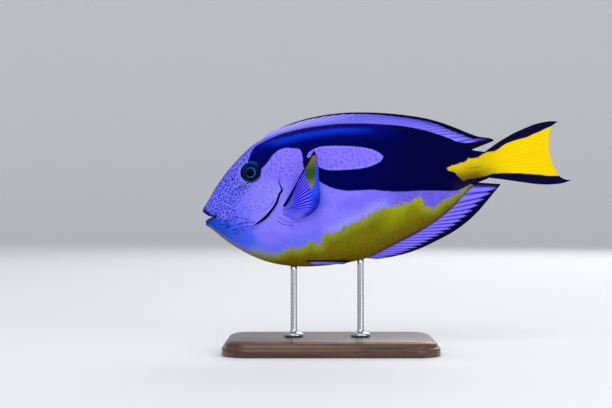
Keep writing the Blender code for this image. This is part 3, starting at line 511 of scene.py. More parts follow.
# Median fins: base, free edge, how far each ray's tip lies behind its base, and how its root is
# sunk in the body, as in the CAD
DORSAL_BASE = (39.4, 163.4)
DORSAL_EDGE = [
    (39.0, 37.4), (43.0, 39.6), (48.0, 41.8), (53.0, 43.3), (62.0, 45.0), (72.0, 46.2),
    (82.0, 46.5), (93.0, 45.9), (106.0, 44.0), (120.0, 41.0), (133.0, 37.3), (141.0, 34.5),
    (149.2, 30.8), (157.7, 26.0), (166.0, 20.9), (171.0, 18.3), (176.3, 16.7), (178.4, 15.7),
    (179.4, 14.4),
]
DORSAL_LEAN = [
    (39.4, 5.5), (45.0, 11.5), (60.0, 22.0), (75.0, 25.5), (90.0, 27.0), (105.0, 26.5),
    (120.0, 24.0), (135.0, 20.0), (149.0, 17.5), (163.4, 16.0),
]
ANAL_BASE = (90.0, 163.3)
ANAL_EDGE = [
    (89.0, -42.9), (97.0, -44.1), (106.0, -44.3), (114.0, -43.9), (123.0, -42.6), (135.0, -39.3),
    (145.0, -36.0), (153.5, -32.0), (161.5, -27.0), (169.5, -20.4), (179.2, -11.9),
]
ANAL_LEAN = [
    (90.0, 8.0), (94.0, 12.5), (97.0, 16.0), (102.0, 18.5), (130.0, 19.5), (150.0, 19.0),
    (163.3, 15.9),
]
FIN_ROOT_DEPTH, FIN_ROOT_AHEAD, ROOT_GROWTH = 1.5, 6.0, 0.14
DORSAL_MARGIN = [
    (40.0, -0.6), (52.0, -0.2), (62.0, 0.6), (100.0, 1.1), (120.0, 1.5), (147.0, 1.9), (154.0, 2.5), (166.0, 2.5),
    (169.5, 1.6), (173.0, 1.0), (180.0, 1.0),
]
DORSAL_DARK_ROOT = [
    (150.0, 15.0), (153.0, 20.2), (156.4, 18.0), (159.9, 16.7), (163.5, 15.8), (167.0, 15.5),
    (170.1, 15.9), (173.5, 14.6), (180.0, 13.6),
]
ANAL_MARGIN = [(89.0, 0.6), (110.0, 2.4), (125.0, 3.8), (140.0, 4.6), (160.0, 5.2), (170.0, 4.0), (179.0, 1.2)]
DORSAL_RAYS, DORSAL_SPINES, ANAL_RAYS, ANAL_SPINES = 28, 9, 21, 3

CAUDAL_TOP = [
    (166.0, 6.0), (172.8, 8.9), (177.0, 10.9), (183.0, 13.7), (192.0, 17.0), (200.0, 19.1),
    (207.0, 20.4), (213.0, 20.6), (219.4, 19.5),
]
CAUDAL_BOTTOM = [
    (166.0, -5.2), (172.8, -7.2), (178.4, -8.7), (185.8, -11.0), (193.3, -13.4), (200.7, -15.6),
    (208.2, -17.1), (215.0, -17.6), (221.2, -16.7),
]
CAUDAL_REACH = [
    (-1.0, 221.2), (-0.88, 217.2), (-0.75, 214.6), (-0.6, 213.2), (-0.3, 211.5), (0.0, 211.0),
    (0.4, 211.9), (0.65, 213.2), (0.83, 215.0), (1.0, 219.4),
]
CAUDAL_RAYS, CAUDAL_START, CAUDAL_ROOT_END = 17, 168.0, 190.0

PECTORAL_BASE = [(49.6, -1.8), (48.2, -8.8)]
PECTORAL_EDGE = [
    (71.6, 26.0), (72.6, 20.5), (72.2, 14.5), (71.5, 8.5), (71.2, 2.5), (70.2, -3.5),
    (67.6, -8.0), (63.6, -10.8), (59.2, -12.2), (55.6, -12.4), (52.6, -11.3),
]
PECTORAL_RAYS, PECTORAL_SPREAD_DEG, PECTORAL_CURL, PECTORAL_SUNK = 21, 19.0, 0.30, 1.2
PECTORAL_LEAD = [
    (48.6, -2.0), (52.3, 3.7), (56.6, 10.3), (59.7, 14.4), (62.8, 18.4), (65.0, 20.8),
    (67.2, 23.6), (68.8, 25.1), (71.1, 25.9), (72.4, 25.7),
]
PECTORAL_GREEN = [
    (70.2, 25.9), (68.0, 22.1), (65.7, 18.6), (64.1, 14.7), (63.9, 11.2), (65.2, 7.5), (66.1, 3.7),
    (67.8, 6.0), (69.4, 9.6), (70.4, 13.6), (70.5, 17.4), (71.7, 21.4), (72.8, 24.4),
]
PECTORAL_BLUE = [
    (70.5, 15.0), (69.4, 9.6), (67.0, 3.8), (64.7, 0.6), (63.7, -3.4), (64.1, -7.7), (60.1, -10.5),
    (64.0, -16.0), (80.0, -8.0), (80.0, 14.0),
]

PELVIC_OUTER = [(58.0, -38.0, -6.1), (82.4, -42.3, -6.4)]
PELVIC_INNER = [(61.6, -40.5, -4.5), (78.0, -43.6, -4.0)]
PELVIC_RAYS, PELVIC_SUNK = 4, 0.08

MEMBRANE_HALF, RAY_ROOT_HALF, RAY_TIP_HALF = 0.22, 0.52, 0.34
COLUMNS_PER_RAY = 12
FORK_SPREAD = 0.25


def ray_crest(u, v, rays, spines=0, fork=0.42, width=0.15):
    """How near each point of a fin lies to a ray: 1 on it. Soft rays fork on their way out."""
    place = u * (rays - 1)
    nearest = np.round(place)
    forked = np.where(nearest >= spines, smoothstep(v, fork, 1.0) * FORK_SPREAD, 0.0)
    return bell(np.abs(np.abs(place - nearest) - forked), 0, width)


def ray_gap(u, v, rays, spines=0, fork=0.42, width=0.09):
    """The dark line midway between rays, and between the branches of each forked ray."""
    place = u * (rays - 1)
    nearest = np.round(place)
    from_ray = np.abs(place - nearest)
    branch = bell(from_ray, 0, width) * smoothstep(v, fork, 1.0) * (nearest >= spines)
    return np.maximum(bell(from_ray, 0.5, width), branch)


def ray_half(u, v, crest):
    """Half the thickness of a fin with a ridge over each ray."""
    ray = RAY_ROOT_HALF + (RAY_TIP_HALF - RAY_ROOT_HALF) * v
    return MEMBRANE_HALF + (ray - MEMBRANE_HALF) * crest


def fin_piece(name, sheet, thickness, material, marks, replaces, columns, rows):
    """A closed fin: two faces either side of sheet(u, v), with a rounded edge."""
    u, v = np.meshgrid(np.linspace(0, 1, columns + 1), np.linspace(0, 1, rows + 1), indexing="ij")
    grid = sheet(u, v)
    normal = grid_normals(grid, wrap=False)
    from_edge = np.minimum.reduce([u * columns, (1 - u) * columns, (1 - v) * rows])
    half = thickness(u, v) * np.where(from_edge < 0.5, 0.35, 1.0)
    sides = [(grid + sign * half[..., None] * normal).reshape(-1, 3) for sign in (1, -1)]
    count, width = (columns + 1) * (rows + 1), rows + 1
    faces = []
    for i in range(columns):
        for j in range(rows):
            a = i * width + j
            b, c, d = a + width, a + width + 1, a + 1
            faces.append((a, b, c, d))
            faces.append((a + count, d + count, c + count, b + count))
    rim = [i * width for i in range(columns)] + [columns * width + j for j in range(rows)]
    rim += [i * width + rows for i in range(columns, 0, -1)] + [j for j in range(rows, 0, -1)]
    for a, b in zip(rim, rim[1:] + rim[:1]):
        faces.append((b, a, a + count, b + count))
    found = marks(u.ravel(), v.ravel(), grid.reshape(-1, 3))
    found = {key: np.concatenate([value, value]) for key, value in found.items()}
    return mesh_piece(name, np.concatenate(sides), faces, material, found, (replaces,))


def fin_map(u, v, rays):
    """Coordinates across and along the rays, in millimetres, for the fin's fine pattern."""
    return np.stack([u * (rays - 1) * 4.0, v * 14.0, np.zeros_like(u)], axis=1)


def median_sheet(body, base, edge, lean, inward):
    """Middle sheet of the dorsal or anal fin."""

    def sheet(u, v):
        from_front, from_rear = np.minimum(1, u / ROOT_GROWTH), np.minimum(1, (1 - u) / ROOT_GROWTH)
        leaves = base[0] + (base[1] - base[0]) * u
        s0 = leaves - FIN_ROOT_AHEAD * np.minimum(from_front, from_rear)
        h0 = outline(body, s0) + inward * FIN_ROOT_DEPTH * (1 + from_front) / 2
        s1 = leaves + curve(lean, leaves)
        return np.stack([s0 + (s1 - s0) * v, np.zeros_like(u), h0 + (curve(edge, s1) - h0) * v], axis=2)

    return sheet


def build_median_fins(material):
    """Dorsal and anal fins, their roots sunk in the skin."""
    plans = (
        ("dorsal_fin", BACK, DORSAL_BASE, DORSAL_EDGE, DORSAL_LEAN, -1, DORSAL_RAYS, DORSAL_SPINES,
         DORSAL_MARGIN),
        ("anal_fin", BELLY, ANAL_BASE, ANAL_EDGE, ANAL_LEAN, 1, ANAL_RAYS, ANAL_SPINES, ANAL_MARGIN),
    )
    for node, body, base, edge, lean, inward, rays, spines, margin in plans:
        dorsal = float(inward < 0)

        def thickness(u, v, rays=rays, spines=spines):
            crest = ray_crest(u, v, rays, spines) * smoothstep(v, 0.1, 0.4)
            return ray_half(u, v, crest) + 0.5 * np.maximum(0, 1 - 2.2 * v) ** 2

        def marks(u, v, points, body=body, edge=edge, rays=rays, spines=spines, margin=margin, dorsal=dorsal):
            s, h = points[:, 0], points[:, 2]
            from_edge = line_distance(rounded(edge, steps=3), s, h)[0]
            from_body = np.abs(h - outline(body, s))
            tooth = np.abs(u * (rays - 1) % 1 - 0.5) * (0.6 if dorsal else 5.0)
            root_dark = 0.2 * (1 - dorsal)
            if dorsal:
                root_dark = np.maximum(
                    0.4 * smoothstep(s, 48, 58) + 0.4 * smoothstep(s, 112, 130),
                    from_body + curve(DORSAL_DARK_ROOT, s) - h,
                )
            return {
                "ray": ray_crest(u, v, rays, spines, fork=0.25),
                "gap": ray_gap(u, v, rays, spines, fork=0.25 if dorsal else 0.9, width=0.13 if dorsal else 0.17),
                "margin": curve(margin, s) - from_edge - (tooth if not dorsal else tooth * smoothstep(s, 80, 120)),
                "base": root_dark - from_body,
                "outer": from_body / np.maximum(from_body + from_edge, 0.1),
                "tip": bell(s, 174.5, 4.0) * bell(h, 15.7, 1.1) * dorsal,
                "under": smoothstep(u, 0.955, 0.99),
                "front": (1 - smoothstep(s, 62, 105)) * dorsal,
                "rear": smoothstep(s, 100, 140),
                "dorsal": np.full_like(u, dorsal),
                "map_mm": fin_map(u, v, rays),
            }

        fin_piece(
            node + "_skin", median_sheet(body, base, edge, lean, inward), thickness, material, marks,
            node, COLUMNS_PER_RAY * (rays - 1), 32,
        )


def build_caudal_fin(material):
    """Tail fin: its root spreads over the end of the flesh, then thins to a forked fan."""

    def sheet(u, v):
        reach = curve(CAUDAL_REACH, 2 * u - 1)
        s = CAUDAL_START + (reach - CAUDAL_START) * v
        low, high = curve(CAUDAL_BOTTOM, s), curve(CAUDAL_TOP, s)
        inset = 0.3 * (1 - smoothstep(v, 0.05, 0.15))
        return np.stack([s, np.zeros_like(s), low + inset + (high - low - 2 * inset) * u], axis=2)

    def thickness(u, v):
        at = sheet(u, v)
        s, h = at[..., 0], at[..., 2]
        drawn_out = CAUDAL_START + (s - CAUDAL_START) * (FLESH_END - CAUDAL_START) / (
            CAUDAL_ROOT_END - CAUDAL_START
        )
        flesh = half_width_at(np.minimum(drawn_out, FLESH_END), h) * (1 - smoothstep(s, 180, 190))
        flesh *= 0.9 + 0.13 * smoothstep(s, 168, 174)
        plain = ray_half(u, v, ray_crest(u, v, CAUDAL_RAYS, fork=0.35) * smoothstep(s, 174, 190))
        return np.hypot(plain * smoothstep(s, 168, 176), flesh) + 0.02

    def marks(u, v, points):
        s, h = points[:, 0], points[:, 2]
        found = body_marks(s, h)
        found["ray"] = ray_crest(u, v, CAUDAL_RAYS, fork=0.35)
        found["gap"] = ray_gap(u, v, CAUDAL_RAYS, fork=0.35) * smoothstep(s, 176, 192)
        found["map_mm"] = np.stack([s, h * 3.0, np.zeros_like(s)], axis=1)
        return found

    fin_piece(
        "caudal_fin_skin", sheet, thickness, material, marks, "caudal_fin",
        COLUMNS_PER_RAY * (CAUDAL_RAYS - 1), 90,
    )


def pectoral_sheet(side):
    """Middle sheet of the pectoral fin, fanned up and back from the flank."""
    spread = math.tan(math.radians(PECTORAL_SPREAD_DEG))
    upper, lower = (np.array(p) for p in PECTORAL_BASE)
    last = len(PECTORAL_EDGE) - 1
    tip_s, tip_h = ([(i, p[k]) for i, p in enumerate(PECTORAL_EDGE)] for k in (0, 1))

    def sheet(u, v):
        root = upper + (lower - upper) * u[..., None]
        tip = np.stack([curve(tip_s, u * last), curve(tip_h, u * last)], axis=-1)
        size = np.linalg.norm(tip - root, axis=-1)
        along = v * (1 + PECTORAL_SUNK / size) - PECTORAL_SUNK / size
        at = root + (tip - root) * along[..., None]
        out = half_width_at(root[..., 0], root[..., 1])
        out = out + spread * size * along * (1 - PECTORAL_CURL * np.maximum(along, 0.0))
        return np.stack([at[..., 0], side * out, at[..., 1]], axis=2)

    return sheet


def pelvic_sheet(side):
    """Middle sheet of the pelvic fin, folded back under the belly."""
    outer, inner = (np.array(ends) for ends in (PELVIC_OUTER, PELVIC_INNER))

    def sheet(u, v):
        along = (v * (1 + PELVIC_SUNK) - PELVIC_SUNK)[..., None]
        rays = [start + (end - start) * along for start, end in (outer, inner)]
        at = rays[0] + (rays[1] - rays[0]) * u[..., None]
        return np.stack([at[..., 0], -side * at[..., 2], at[..., 1]], axis=2)

    return sheet


def build_paired_fins(material):
    """Pectoral and pelvic fins of both sides."""

    def pectoral_thickness(u, v):
        crest = ray_crest(u, v, PECTORAL_RAYS, spines=2) * smoothstep(v, 0.0, 0.2)
        return ray_half(u, v, crest) + 0.45 * np.maximum(0, 1 - 2.4 * v) ** 2

    def pectoral_marks(u, v, points):
        s, h = points[:, 0], points[:, 2]
        green = depth_inside(PECTORAL_GREEN, s, h)
        return {
            "ray": ray_crest(u, v, PECTORAL_RAYS, spines=2, fork=0.3, width=0.11),
            "gap": ray_gap(u, v, PECTORAL_RAYS, spines=2, fork=0.3, width=0.13),
            "lead": 2.8 - line_distance(rounded(PECTORAL_LEAD), s, h)[0] - 0.9 * (1 - smoothstep(v, 0.0, 0.25)),
            "green": green,
            "green_top": smoothstep(h, 14, 23),
            "green_low": 1 - smoothstep(h, 5, 12),
            "blue": depth_inside(PECTORAL_BLUE, s, h),
            "rim": 1 - smoothstep((1 - v) * 20, 0.6, 2.2),
            "low": smoothstep(u, 0.5, 0.85),
            "corner": window(u, 0.5, 0.72, 0.12) * smoothstep(v, 0.7, 0.92),
            "root": 1 - smoothstep(v, 0.05, 0.4),
            "map_mm": fin_map(u, v, PECTORAL_RAYS),
        }

    def pelvic_thickness(u, v):
        return ray_half(u, v, ray_crest(u, v, PELVIC_RAYS, spines=1)) + 0.4 * np.maximum(0, 1 - 2.2 * v) ** 2

    def pelvic_marks(u, v, points):
        flat = np.zeros_like(u)
        return {
            "ray": ray_crest(u, v, PELVIC_RAYS, spines=1), "gap": ray_gap(u, v, PELVIC_RAYS, spines=1),
            # Pelvic marks: the dark strip along the upper ray, against the belly, is painted shade; the dark tip is
            # the fin's own colour
            "margin": np.maximum(0.9 - 3.2 * u, (v - 0.93) * 12), "base": flat - 5, "outer": v, "tip": flat,
            "under": flat, "front": flat, "rear": flat, "dorsal": flat, "map_mm": fin_map(u, v, PELVIC_RAYS),
        }

    for side, word in SIDES:
        fin_piece(
            "pectoral_skin_" + word, pectoral_sheet(side), pectoral_thickness, material["pectoral"],
            pectoral_marks, "pectoral_fin_" + word, COLUMNS_PER_RAY * (PECTORAL_RAYS - 1), 64,
        )
        fin_piece(
            "pelvic_skin_" + word, pelvic_sheet(side), pelvic_thickness, material["fin"], pelvic_marks,
            "pelvic_fin_" + word, 14 * (PELVIC_RAYS - 1), 40,
        )


def flank_axes(s, h):
    """Point on the left flank at (s, h), and unit axes out of it, across it forwards, and up it."""
    step = 0.5

    def width(s0, h0):
        return float(half_width_at(np.array(s0), np.array(h0)))

    along_s = np.array([2 * step, width(s - step, h) - width(s + step, h), 0.0])
    along_h = np.array([0.0, width(s, h - step) - width(s, h + step), 2 * step])
    out = np.cross(along_s, along_h)
    out /= np.linalg.norm(out)
    if out[1] > 0:
        out = -out
    across = np.cross(out, (0.0, 0.0, 1.0))
    across /= np.linalg.norm(across)
    return np.array([s, -width(s, h), h]), out, across, np.cross(across, out)


def build_eyes(material):
    """Eyeballs with a domed front, ringed round the pupil."""
    bands, segments = 64, 96
    at, out, across, up = flank_axes(EYE_S, EYE_H)
    lean = np.linspace(0.02, math.pi - 0.004, bands + 1)
    depth = np.where(lean < math.pi / 2, EYE_BACK, EYE_DOME)
    radius, reach = EYE_RADIUS * np.sin(lean), -depth * np.cos(lean) - EYE_SUNK
    turn = 2 * np.pi * np.arange(segments) / segments
    spoke = np.cos(turn)[:, None] * across + np.sin(turn)[:, None] * up
    grid = at + reach[:, None, None] * out + radius[:, None, None] * spoke
    front = np.repeat(np.where(lean > math.pi / 2, radius, EYE_RADIUS), segments)
    for side, word in SIDES:
        points = grid.reshape(-1, 3) * [1.0, -side, 1.0]
        faces = tube_faces(bands + 1, segments)
        if side > 0:
            faces = [face[::-1] for face in faces]
        marks = {
            "radius": front,
            "upward": np.tile(np.sin(turn), bands + 1),
            "forward": np.tile(np.cos(turn), bands + 1),
            "map_mm": points,
        }
        mesh_piece("eyeball_" + word, points, faces, material, marks, ("eye_" + word,))


# Folded blade on the tail stalk: front end, size, level, and how it is set in the skin
SCALPEL_FRONT, SCALPEL_LENGTH, SCALPEL_HEIGHT = 157.5, 12.5, 2.5
SCALPEL_LEVEL, SCALPEL_PROUD, SCALPEL_SUNK, SCALPEL_TAPER = 1.4, 0.75, 0.8, 0.82


def build_scalpels(material):
    """The folded blade on each side of the tail stalk."""
    steps, sides = 48, 28
    t = np.linspace(0.0, 1.0, steps + 1)
    blunt_end = 1 - 0.9 * np.maximum(0.0, (t - 0.9) / 0.1) ** 2
    swell = np.maximum(0.04, np.sin(np.pi * (SCALPEL_TAPER * t + 0.01))) * blunt_end
    s = SCALPEL_FRONT + SCALPEL_LENGTH * t
    surface = half_width_at(s, np.full_like(s, SCALPEL_LEVEL))
    turn = 2 * np.pi * np.arange(sides) / sides
    middle = surface + (SCALPEL_PROUD * swell - SCALPEL_SUNK) / 2
    half_depth = (SCALPEL_PROUD * swell + SCALPEL_SUNK) / 2
    for side, word in SIDES:
        y = side * (middle[:, None] + half_depth[:, None] * np.cos(turn))
        h = SCALPEL_LEVEL + (SCALPEL_HEIGHT / 2 * swell)[:, None] * np.sin(turn)
        points = np.stack([np.broadcast_to(s[:, None], y.shape), y, h], axis=2).reshape(-1, 3)
        faces = tube_faces(steps + 1, sides)
        if side < 0:
            faces = [face[::-1] for face in faces]
        proud = np.tile(np.cos(turn), steps + 1)
        marks = {"map_mm": points, "proud": proud, "lower": np.tile(-np.sin(turn), steps + 1)}
        name = "scalpel_skin_" + word
        mesh_piece(name, points, faces, material, marks, ("scalpel_" + word,))


BASE_CORNER, ROD_RADIUS, FOOT_RADIUS = 16.0, 2.0, 6.0
# Edge profile of the base: how far in, and how far below its top
BASE_STEP = [(0.0, 4.6), (0.25, 4.2), (1.2, 4.0), (1.5, 3.7)]
BASE_ROUND, BASE_ROUND_RADIUS, BASE_ROUND_STEPS = (1.5, 3.5), (3.2, 3.0), 9
BASE_TOP = [(5.2, 0.15), (5.8, 0.0)]
# Turned foot of a rod: radius, and height above the base
ROD_FOOT = [
    (FOOT_RADIUS - 0.3, 0.0), (FOOT_RADIUS, 0.3), (FOOT_RADIUS, 1.1), (FOOT_RADIUS - 0.2, 1.6),
    (FOOT_RADIUS - 0.8, 2.0), (FOOT_RADIUS - 1.5, 2.2), (ROD_RADIUS + 1.4, 2.3),
    (ROD_RADIUS + 0.7, 2.6), (ROD_RADIUS + 0.25, 3.2), (ROD_RADIUS, 4.2),
]


def rounded_rectangle(length, width, corner, steps=14):
    """Corner points of a rectangle with round corners, anticlockwise about the origin."""
    points = []
    for k, (sign_x, sign_y) in enumerate(((1, 1), (-1, 1), (-1, -1), (1, -1))):
        for i in range(steps + 1):
            angle = math.pi / 2 * (k + i / steps)
            points.append((
                sign_x * (length / 2 - corner) + corner * math.cos(angle),
                sign_y * (width / 2 - corner) + corner * math.sin(angle),
            ))
    return points


def build_stand(wood, steel):
    """Moulded wooden base, and two turned steel rods up to the belly."""
    low, high = (np.array(corner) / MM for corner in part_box("stand_base"))
    size, middle = high - low, (high + low) / 2
    top = size[2]
    moulding = [(0.4, 0.0), (0.0, 0.5)] + [(inset, top - below) for inset, below in BASE_STEP]
    for i in range(BASE_ROUND_STEPS):
        angle = math.pi / 2 * i / (BASE_ROUND_STEPS - 1)
        moulding.append((
            BASE_ROUND[0] + BASE_ROUND_RADIUS[0] * (1 - math.cos(angle)),
            top - BASE_ROUND[1] + BASE_ROUND_RADIUS[1] * math.sin(angle),
        ))
    moulding += [(inset, top - below) for inset, below in BASE_TOP]
    rings = []
    for inset, z in moulding:
        shape = rounded_rectangle(size[0] - 2 * inset, size[1] - 2 * inset, BASE_CORNER - inset)
        rings.append([(x + middle[0], y + middle[1], z) for x, y in shape])
    points, faces = np.array(rings).reshape(-1, 3), tube_faces(len(rings), len(rings[0]))
    marks = {"map_mm": points}
    base = mesh_piece("stand_base_wood", points, faces, wood, marks, ("stand_base",), True)
    base.data.set_sharp_from_angle(angle=math.radians(50))

    sides = 48
    turn = 2 * np.pi * np.arange(sides) / sides
    for word in ("front", "rear"):
        low, high = (np.array(corner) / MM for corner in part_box("stand_rod_" + word))
        x, y = ((low + high) / 2)[:2]
        profile = [(r, low[2] + z) for r, z in ROD_FOOT]
        profile += [(ROD_RADIUS, high[2] - 3.0), (ROD_RADIUS, high[2] + 1.0)]
        rings = [[(x + r * math.cos(t), y + r * math.sin(t), z) for t in turn] for r, z in profile]
        points, faces = np.array(rings).reshape(-1, 3), tube_faces(len(rings), sides)
        marks, name = {"map_mm": points - [x, y, 0.0]}, "stand_rod_steel_" + word
        mesh_piece(name, points, faces, steel, marks, ("stand_rod_" + word,), True)


def srgb(red, green, blue):
    """A colour given as it looks on a screen, 0 to 255, as the linear colour that shaders take."""

    def linear(value):
        value /= 255
        return value / 12.92 if value <= 0.04045 else ((value + 0.055) / 1.055) ** 2.4

    return (linear(red), linear(green), linear(blue), 1.0)


class Paint:
    """The nodes of one material, put together as expressions."""

    def __init__(self, name, flat=True, specular=0.4, tint=None, **settings):
        self.material = bpy.data.materials.new(name)
        self.material.use_nodes = True
        self.nodes, self.links = self.material.node_tree.nodes, self.material.node_tree.links
        self.shader = self.nodes["Principled BSDF"]
        self.dimensions = "2D" if flat else "3D"
        self.shader.inputs["Specular IOR Level"].default_value = specular
        self.shader.inputs["Specular Tint"].default_value = tint or (1.0, 1.0, 1.0, 1.0)
        for key, value in settings.items():
            self.shader.inputs[key.replace("_", " ").title()].default_value = value

    def put(self, socket, value):
        if isinstance(value, bpy.types.NodeSocket):
            self.links.new(value, socket)
        else:
            socket.default_value = value

    def mark(self, name):
        node = self.nodes.new("ShaderNodeAttribute")
        node.attribute_name = name
        return node.outputs["Fac"]

    def place(self, size, stretch):
        node = self.nodes.new("ShaderNodeAttribute")
        node.attribute_name = "map_mm"
        scaled = self.nodes.new("ShaderNodeVectorMath")
        scaled.operation = "MULTIPLY"
        self.links.new(node.outputs["Vector"], scaled.inputs[0])
        scaled.inputs[1].default_value = tuple(k / size for k in stretch)
        return scaled.outputs["Vector"]

    def math(self, operation, a, b=0.0, c=0.0):
        node = self.nodes.new("ShaderNodeMath")
        node.operation = operation
        for socket, value in zip(node.inputs, (a, b, c)):
            self.put(socket, value)
        return node.outputs[0]

    def times(self, *values):
        product = values[0]
        for value in values[1:]:
            product = self.math("MULTIPLY", product, value)
        return product

    def wavy(self, value, noise, reach):
        """The value, moved up and down by the noise by up to about half the reach."""
        return self.math("MULTIPLY_ADD", self.math("SUBTRACT", noise, 0.5), reach, value)

    def ramp(self, value, low, high):
        """0 up to low and 1 from high on, with soft ends; the other way round where low > high."""
        node = self.nodes.new("ShaderNodeMapRange")
        node.interpolation_type = "SMOOTHSTEP"
        rising = low < high
        self.put(node.inputs["Value"], value)
        self.put(node.inputs["From Min"], min(low, high))
        self.put(node.inputs["From Max"], max(low, high))
        self.put(node.inputs["To Min"], 0.0 if rising else 1.0)
        self.put(node.inputs["To Max"], 1.0 if rising else 0.0)
        return node.outputs["Result"]

    def noise(self, size, stretch=(1.0, 1.0, 1.0), detail=2.0, distortion=0.0, roughness=0.5):
        """Soft noise whose blots are about so many millimetres across."""
        node = self.nodes.new("ShaderNodeTexNoise")
        node.noise_dimensions = self.dimensions
        self.put(node.inputs["Vector"], self.place(size, stretch))
        self.put(node.inputs["Scale"], 1.0)
        self.put(node.inputs["Detail"], detail)
        self.put(node.inputs["Roughness"], roughness)
        self.put(node.inputs["Distortion"], distortion)
        return node.outputs["Fac"]

    def cells(self, size, randomness=0.9):
        """Distance from the middles of scattered cells so many millimetres apart, in those
        units, and a random number for each cell."""
        node = self.nodes.new("ShaderNodeTexVoronoi")
        node.voronoi_dimensions = self.dimensions
        self.put(node.inputs["Vector"], self.place(size, (1.0, 1.0, 1.0)))
        self.put(node.inputs["Scale"], 1.0)
        self.put(node.inputs["Randomness"], randomness)
        parts = self.nodes.new("ShaderNodeSeparateColor")
        self.links.new(node.outputs["Color"], parts.inputs["Color"])
        return node.outputs["Distance"], parts.outputs["Red"]

    def mix(self, share, base, tint):
        node = self.nodes.new("ShaderNodeMix")
        node.data_type = "RGBA"
        factor, *_ = (socket for socket in node.inputs if socket.name == "Factor")
        first, second = (socket for socket in node.inputs if socket.type == "RGBA")
        self.put(factor, share)
        self.put(first, base)
        self.put(second, tint)
        return next(socket for socket in node.outputs if socket.type == "RGBA")

    def layers(self, base, *layers):
        """The base colour under layers of (share, colour), the last on top."""
        for share, tint in layers:
            base = self.mix(share, base, tint)
        return base

    def line(self, name, soft=0.15):
        """Share covered by a mark that is a distance, positive inside."""
        return self.ramp(self.mark(name), -soft, soft)

    def bump(self, height, depth_mm, strength=1.0):
        node = self.nodes.new("ShaderNodeBump")
        self.put(node.inputs["Height"], height)
        self.put(node.inputs["Distance"], depth_mm * MM)
        self.put(node.inputs["Strength"], strength)
        self.links.new(node.outputs["Normal"], self.shader.inputs["Normal"])

    def finish(self, colour, roughness):
        self.put(self.shader.inputs["Base Color"], colour)
        self.put(self.shader.inputs["Roughness"], roughness)
        return self.material


PERIWINKLE, PERIWINKLE_DEEP, PERIWINKLE_PALE = srgb(129, 121, 249), srgb(118, 106, 242), srgb(148, 144, 254)
OVAL_VIOLET, WORM_VIOLET = srgb(140, 120, 255), srgb(96, 72, 222)
SNOUT_BLUE, DOT_NAVY, ASH_LILAC, WEDGE_VIOLET = srgb(97, 106, 246), srgb(16, 10, 120), srgb(152, 153, 226), srgb(98, 84, 212)
CHIN_BLUE, CHIN_DEEP, CHEST_BLUE, FOLD_BLUE, CREASE_BLUE = (
    srgb(72, 98, 240), srgb(4, 72, 182), srgb(94, 110, 238), srgb(12, 42, 172), srgb(46, 58, 232)
)
# The second colour is painted shade in the slit between the lips
LIP_BLUE, MOUTH_SHADE = srgb(8, 36, 146), srgb(1, 2, 76)
THROAT_OLIVE, FACE_OLIVE, FACE_MURK = srgb(122, 106, 100), srgb(126, 122, 70), srgb(8, 62, 96)
# The third and fourth colours are painted highlight on the upper back: its dim fringe and its bright band
NIGHT, NIGHT_REAR, HIGHLIGHT_FRINGE_BLUE, HIGHLIGHT_BLUE, INK = srgb(0, 1, 78), srgb(0, 0, 52), srgb(0, 2, 114), srgb(4, 46, 196), srgb(1, 2, 20)
# The first gold is the belly's gold in painted shade low down; it also tints darker blots
GOLD_LOW, GOLD_MID, GOLD_HIGH, GOLD_REAR = srgb(103, 82, 2), srgb(112, 108, 0), srgb(142, 156, 38), srgb(164, 168, 4)
BASE_BROWN, STALK_BROWN = srgb(84, 46, 40), srgb(42, 26, 12)
# The third colour is the stalk's gold in painted shade, for its lower side
TAIL_GOLD, TAIL_STALK, TAIL_SHADE, TAIL_LINE = srgb(245, 212, 0), srgb(216, 190, 0), srgb(104, 84, 0), srgb(222, 180, 0)
FIN_LILAC, FIN_FRONT, FIN_BLUE, FIN_DEEP, FIN_LINE = (
    srgb(130, 116, 252), srgb(178, 172, 255), srgb(134, 127, 255), srgb(44, 24, 208), srgb(30, 12, 160)
)
TIP_MAROON = srgb(112, 36, 88)
SKIN_SHEEN = (0.15, 0.25, 1.0, 1.0)


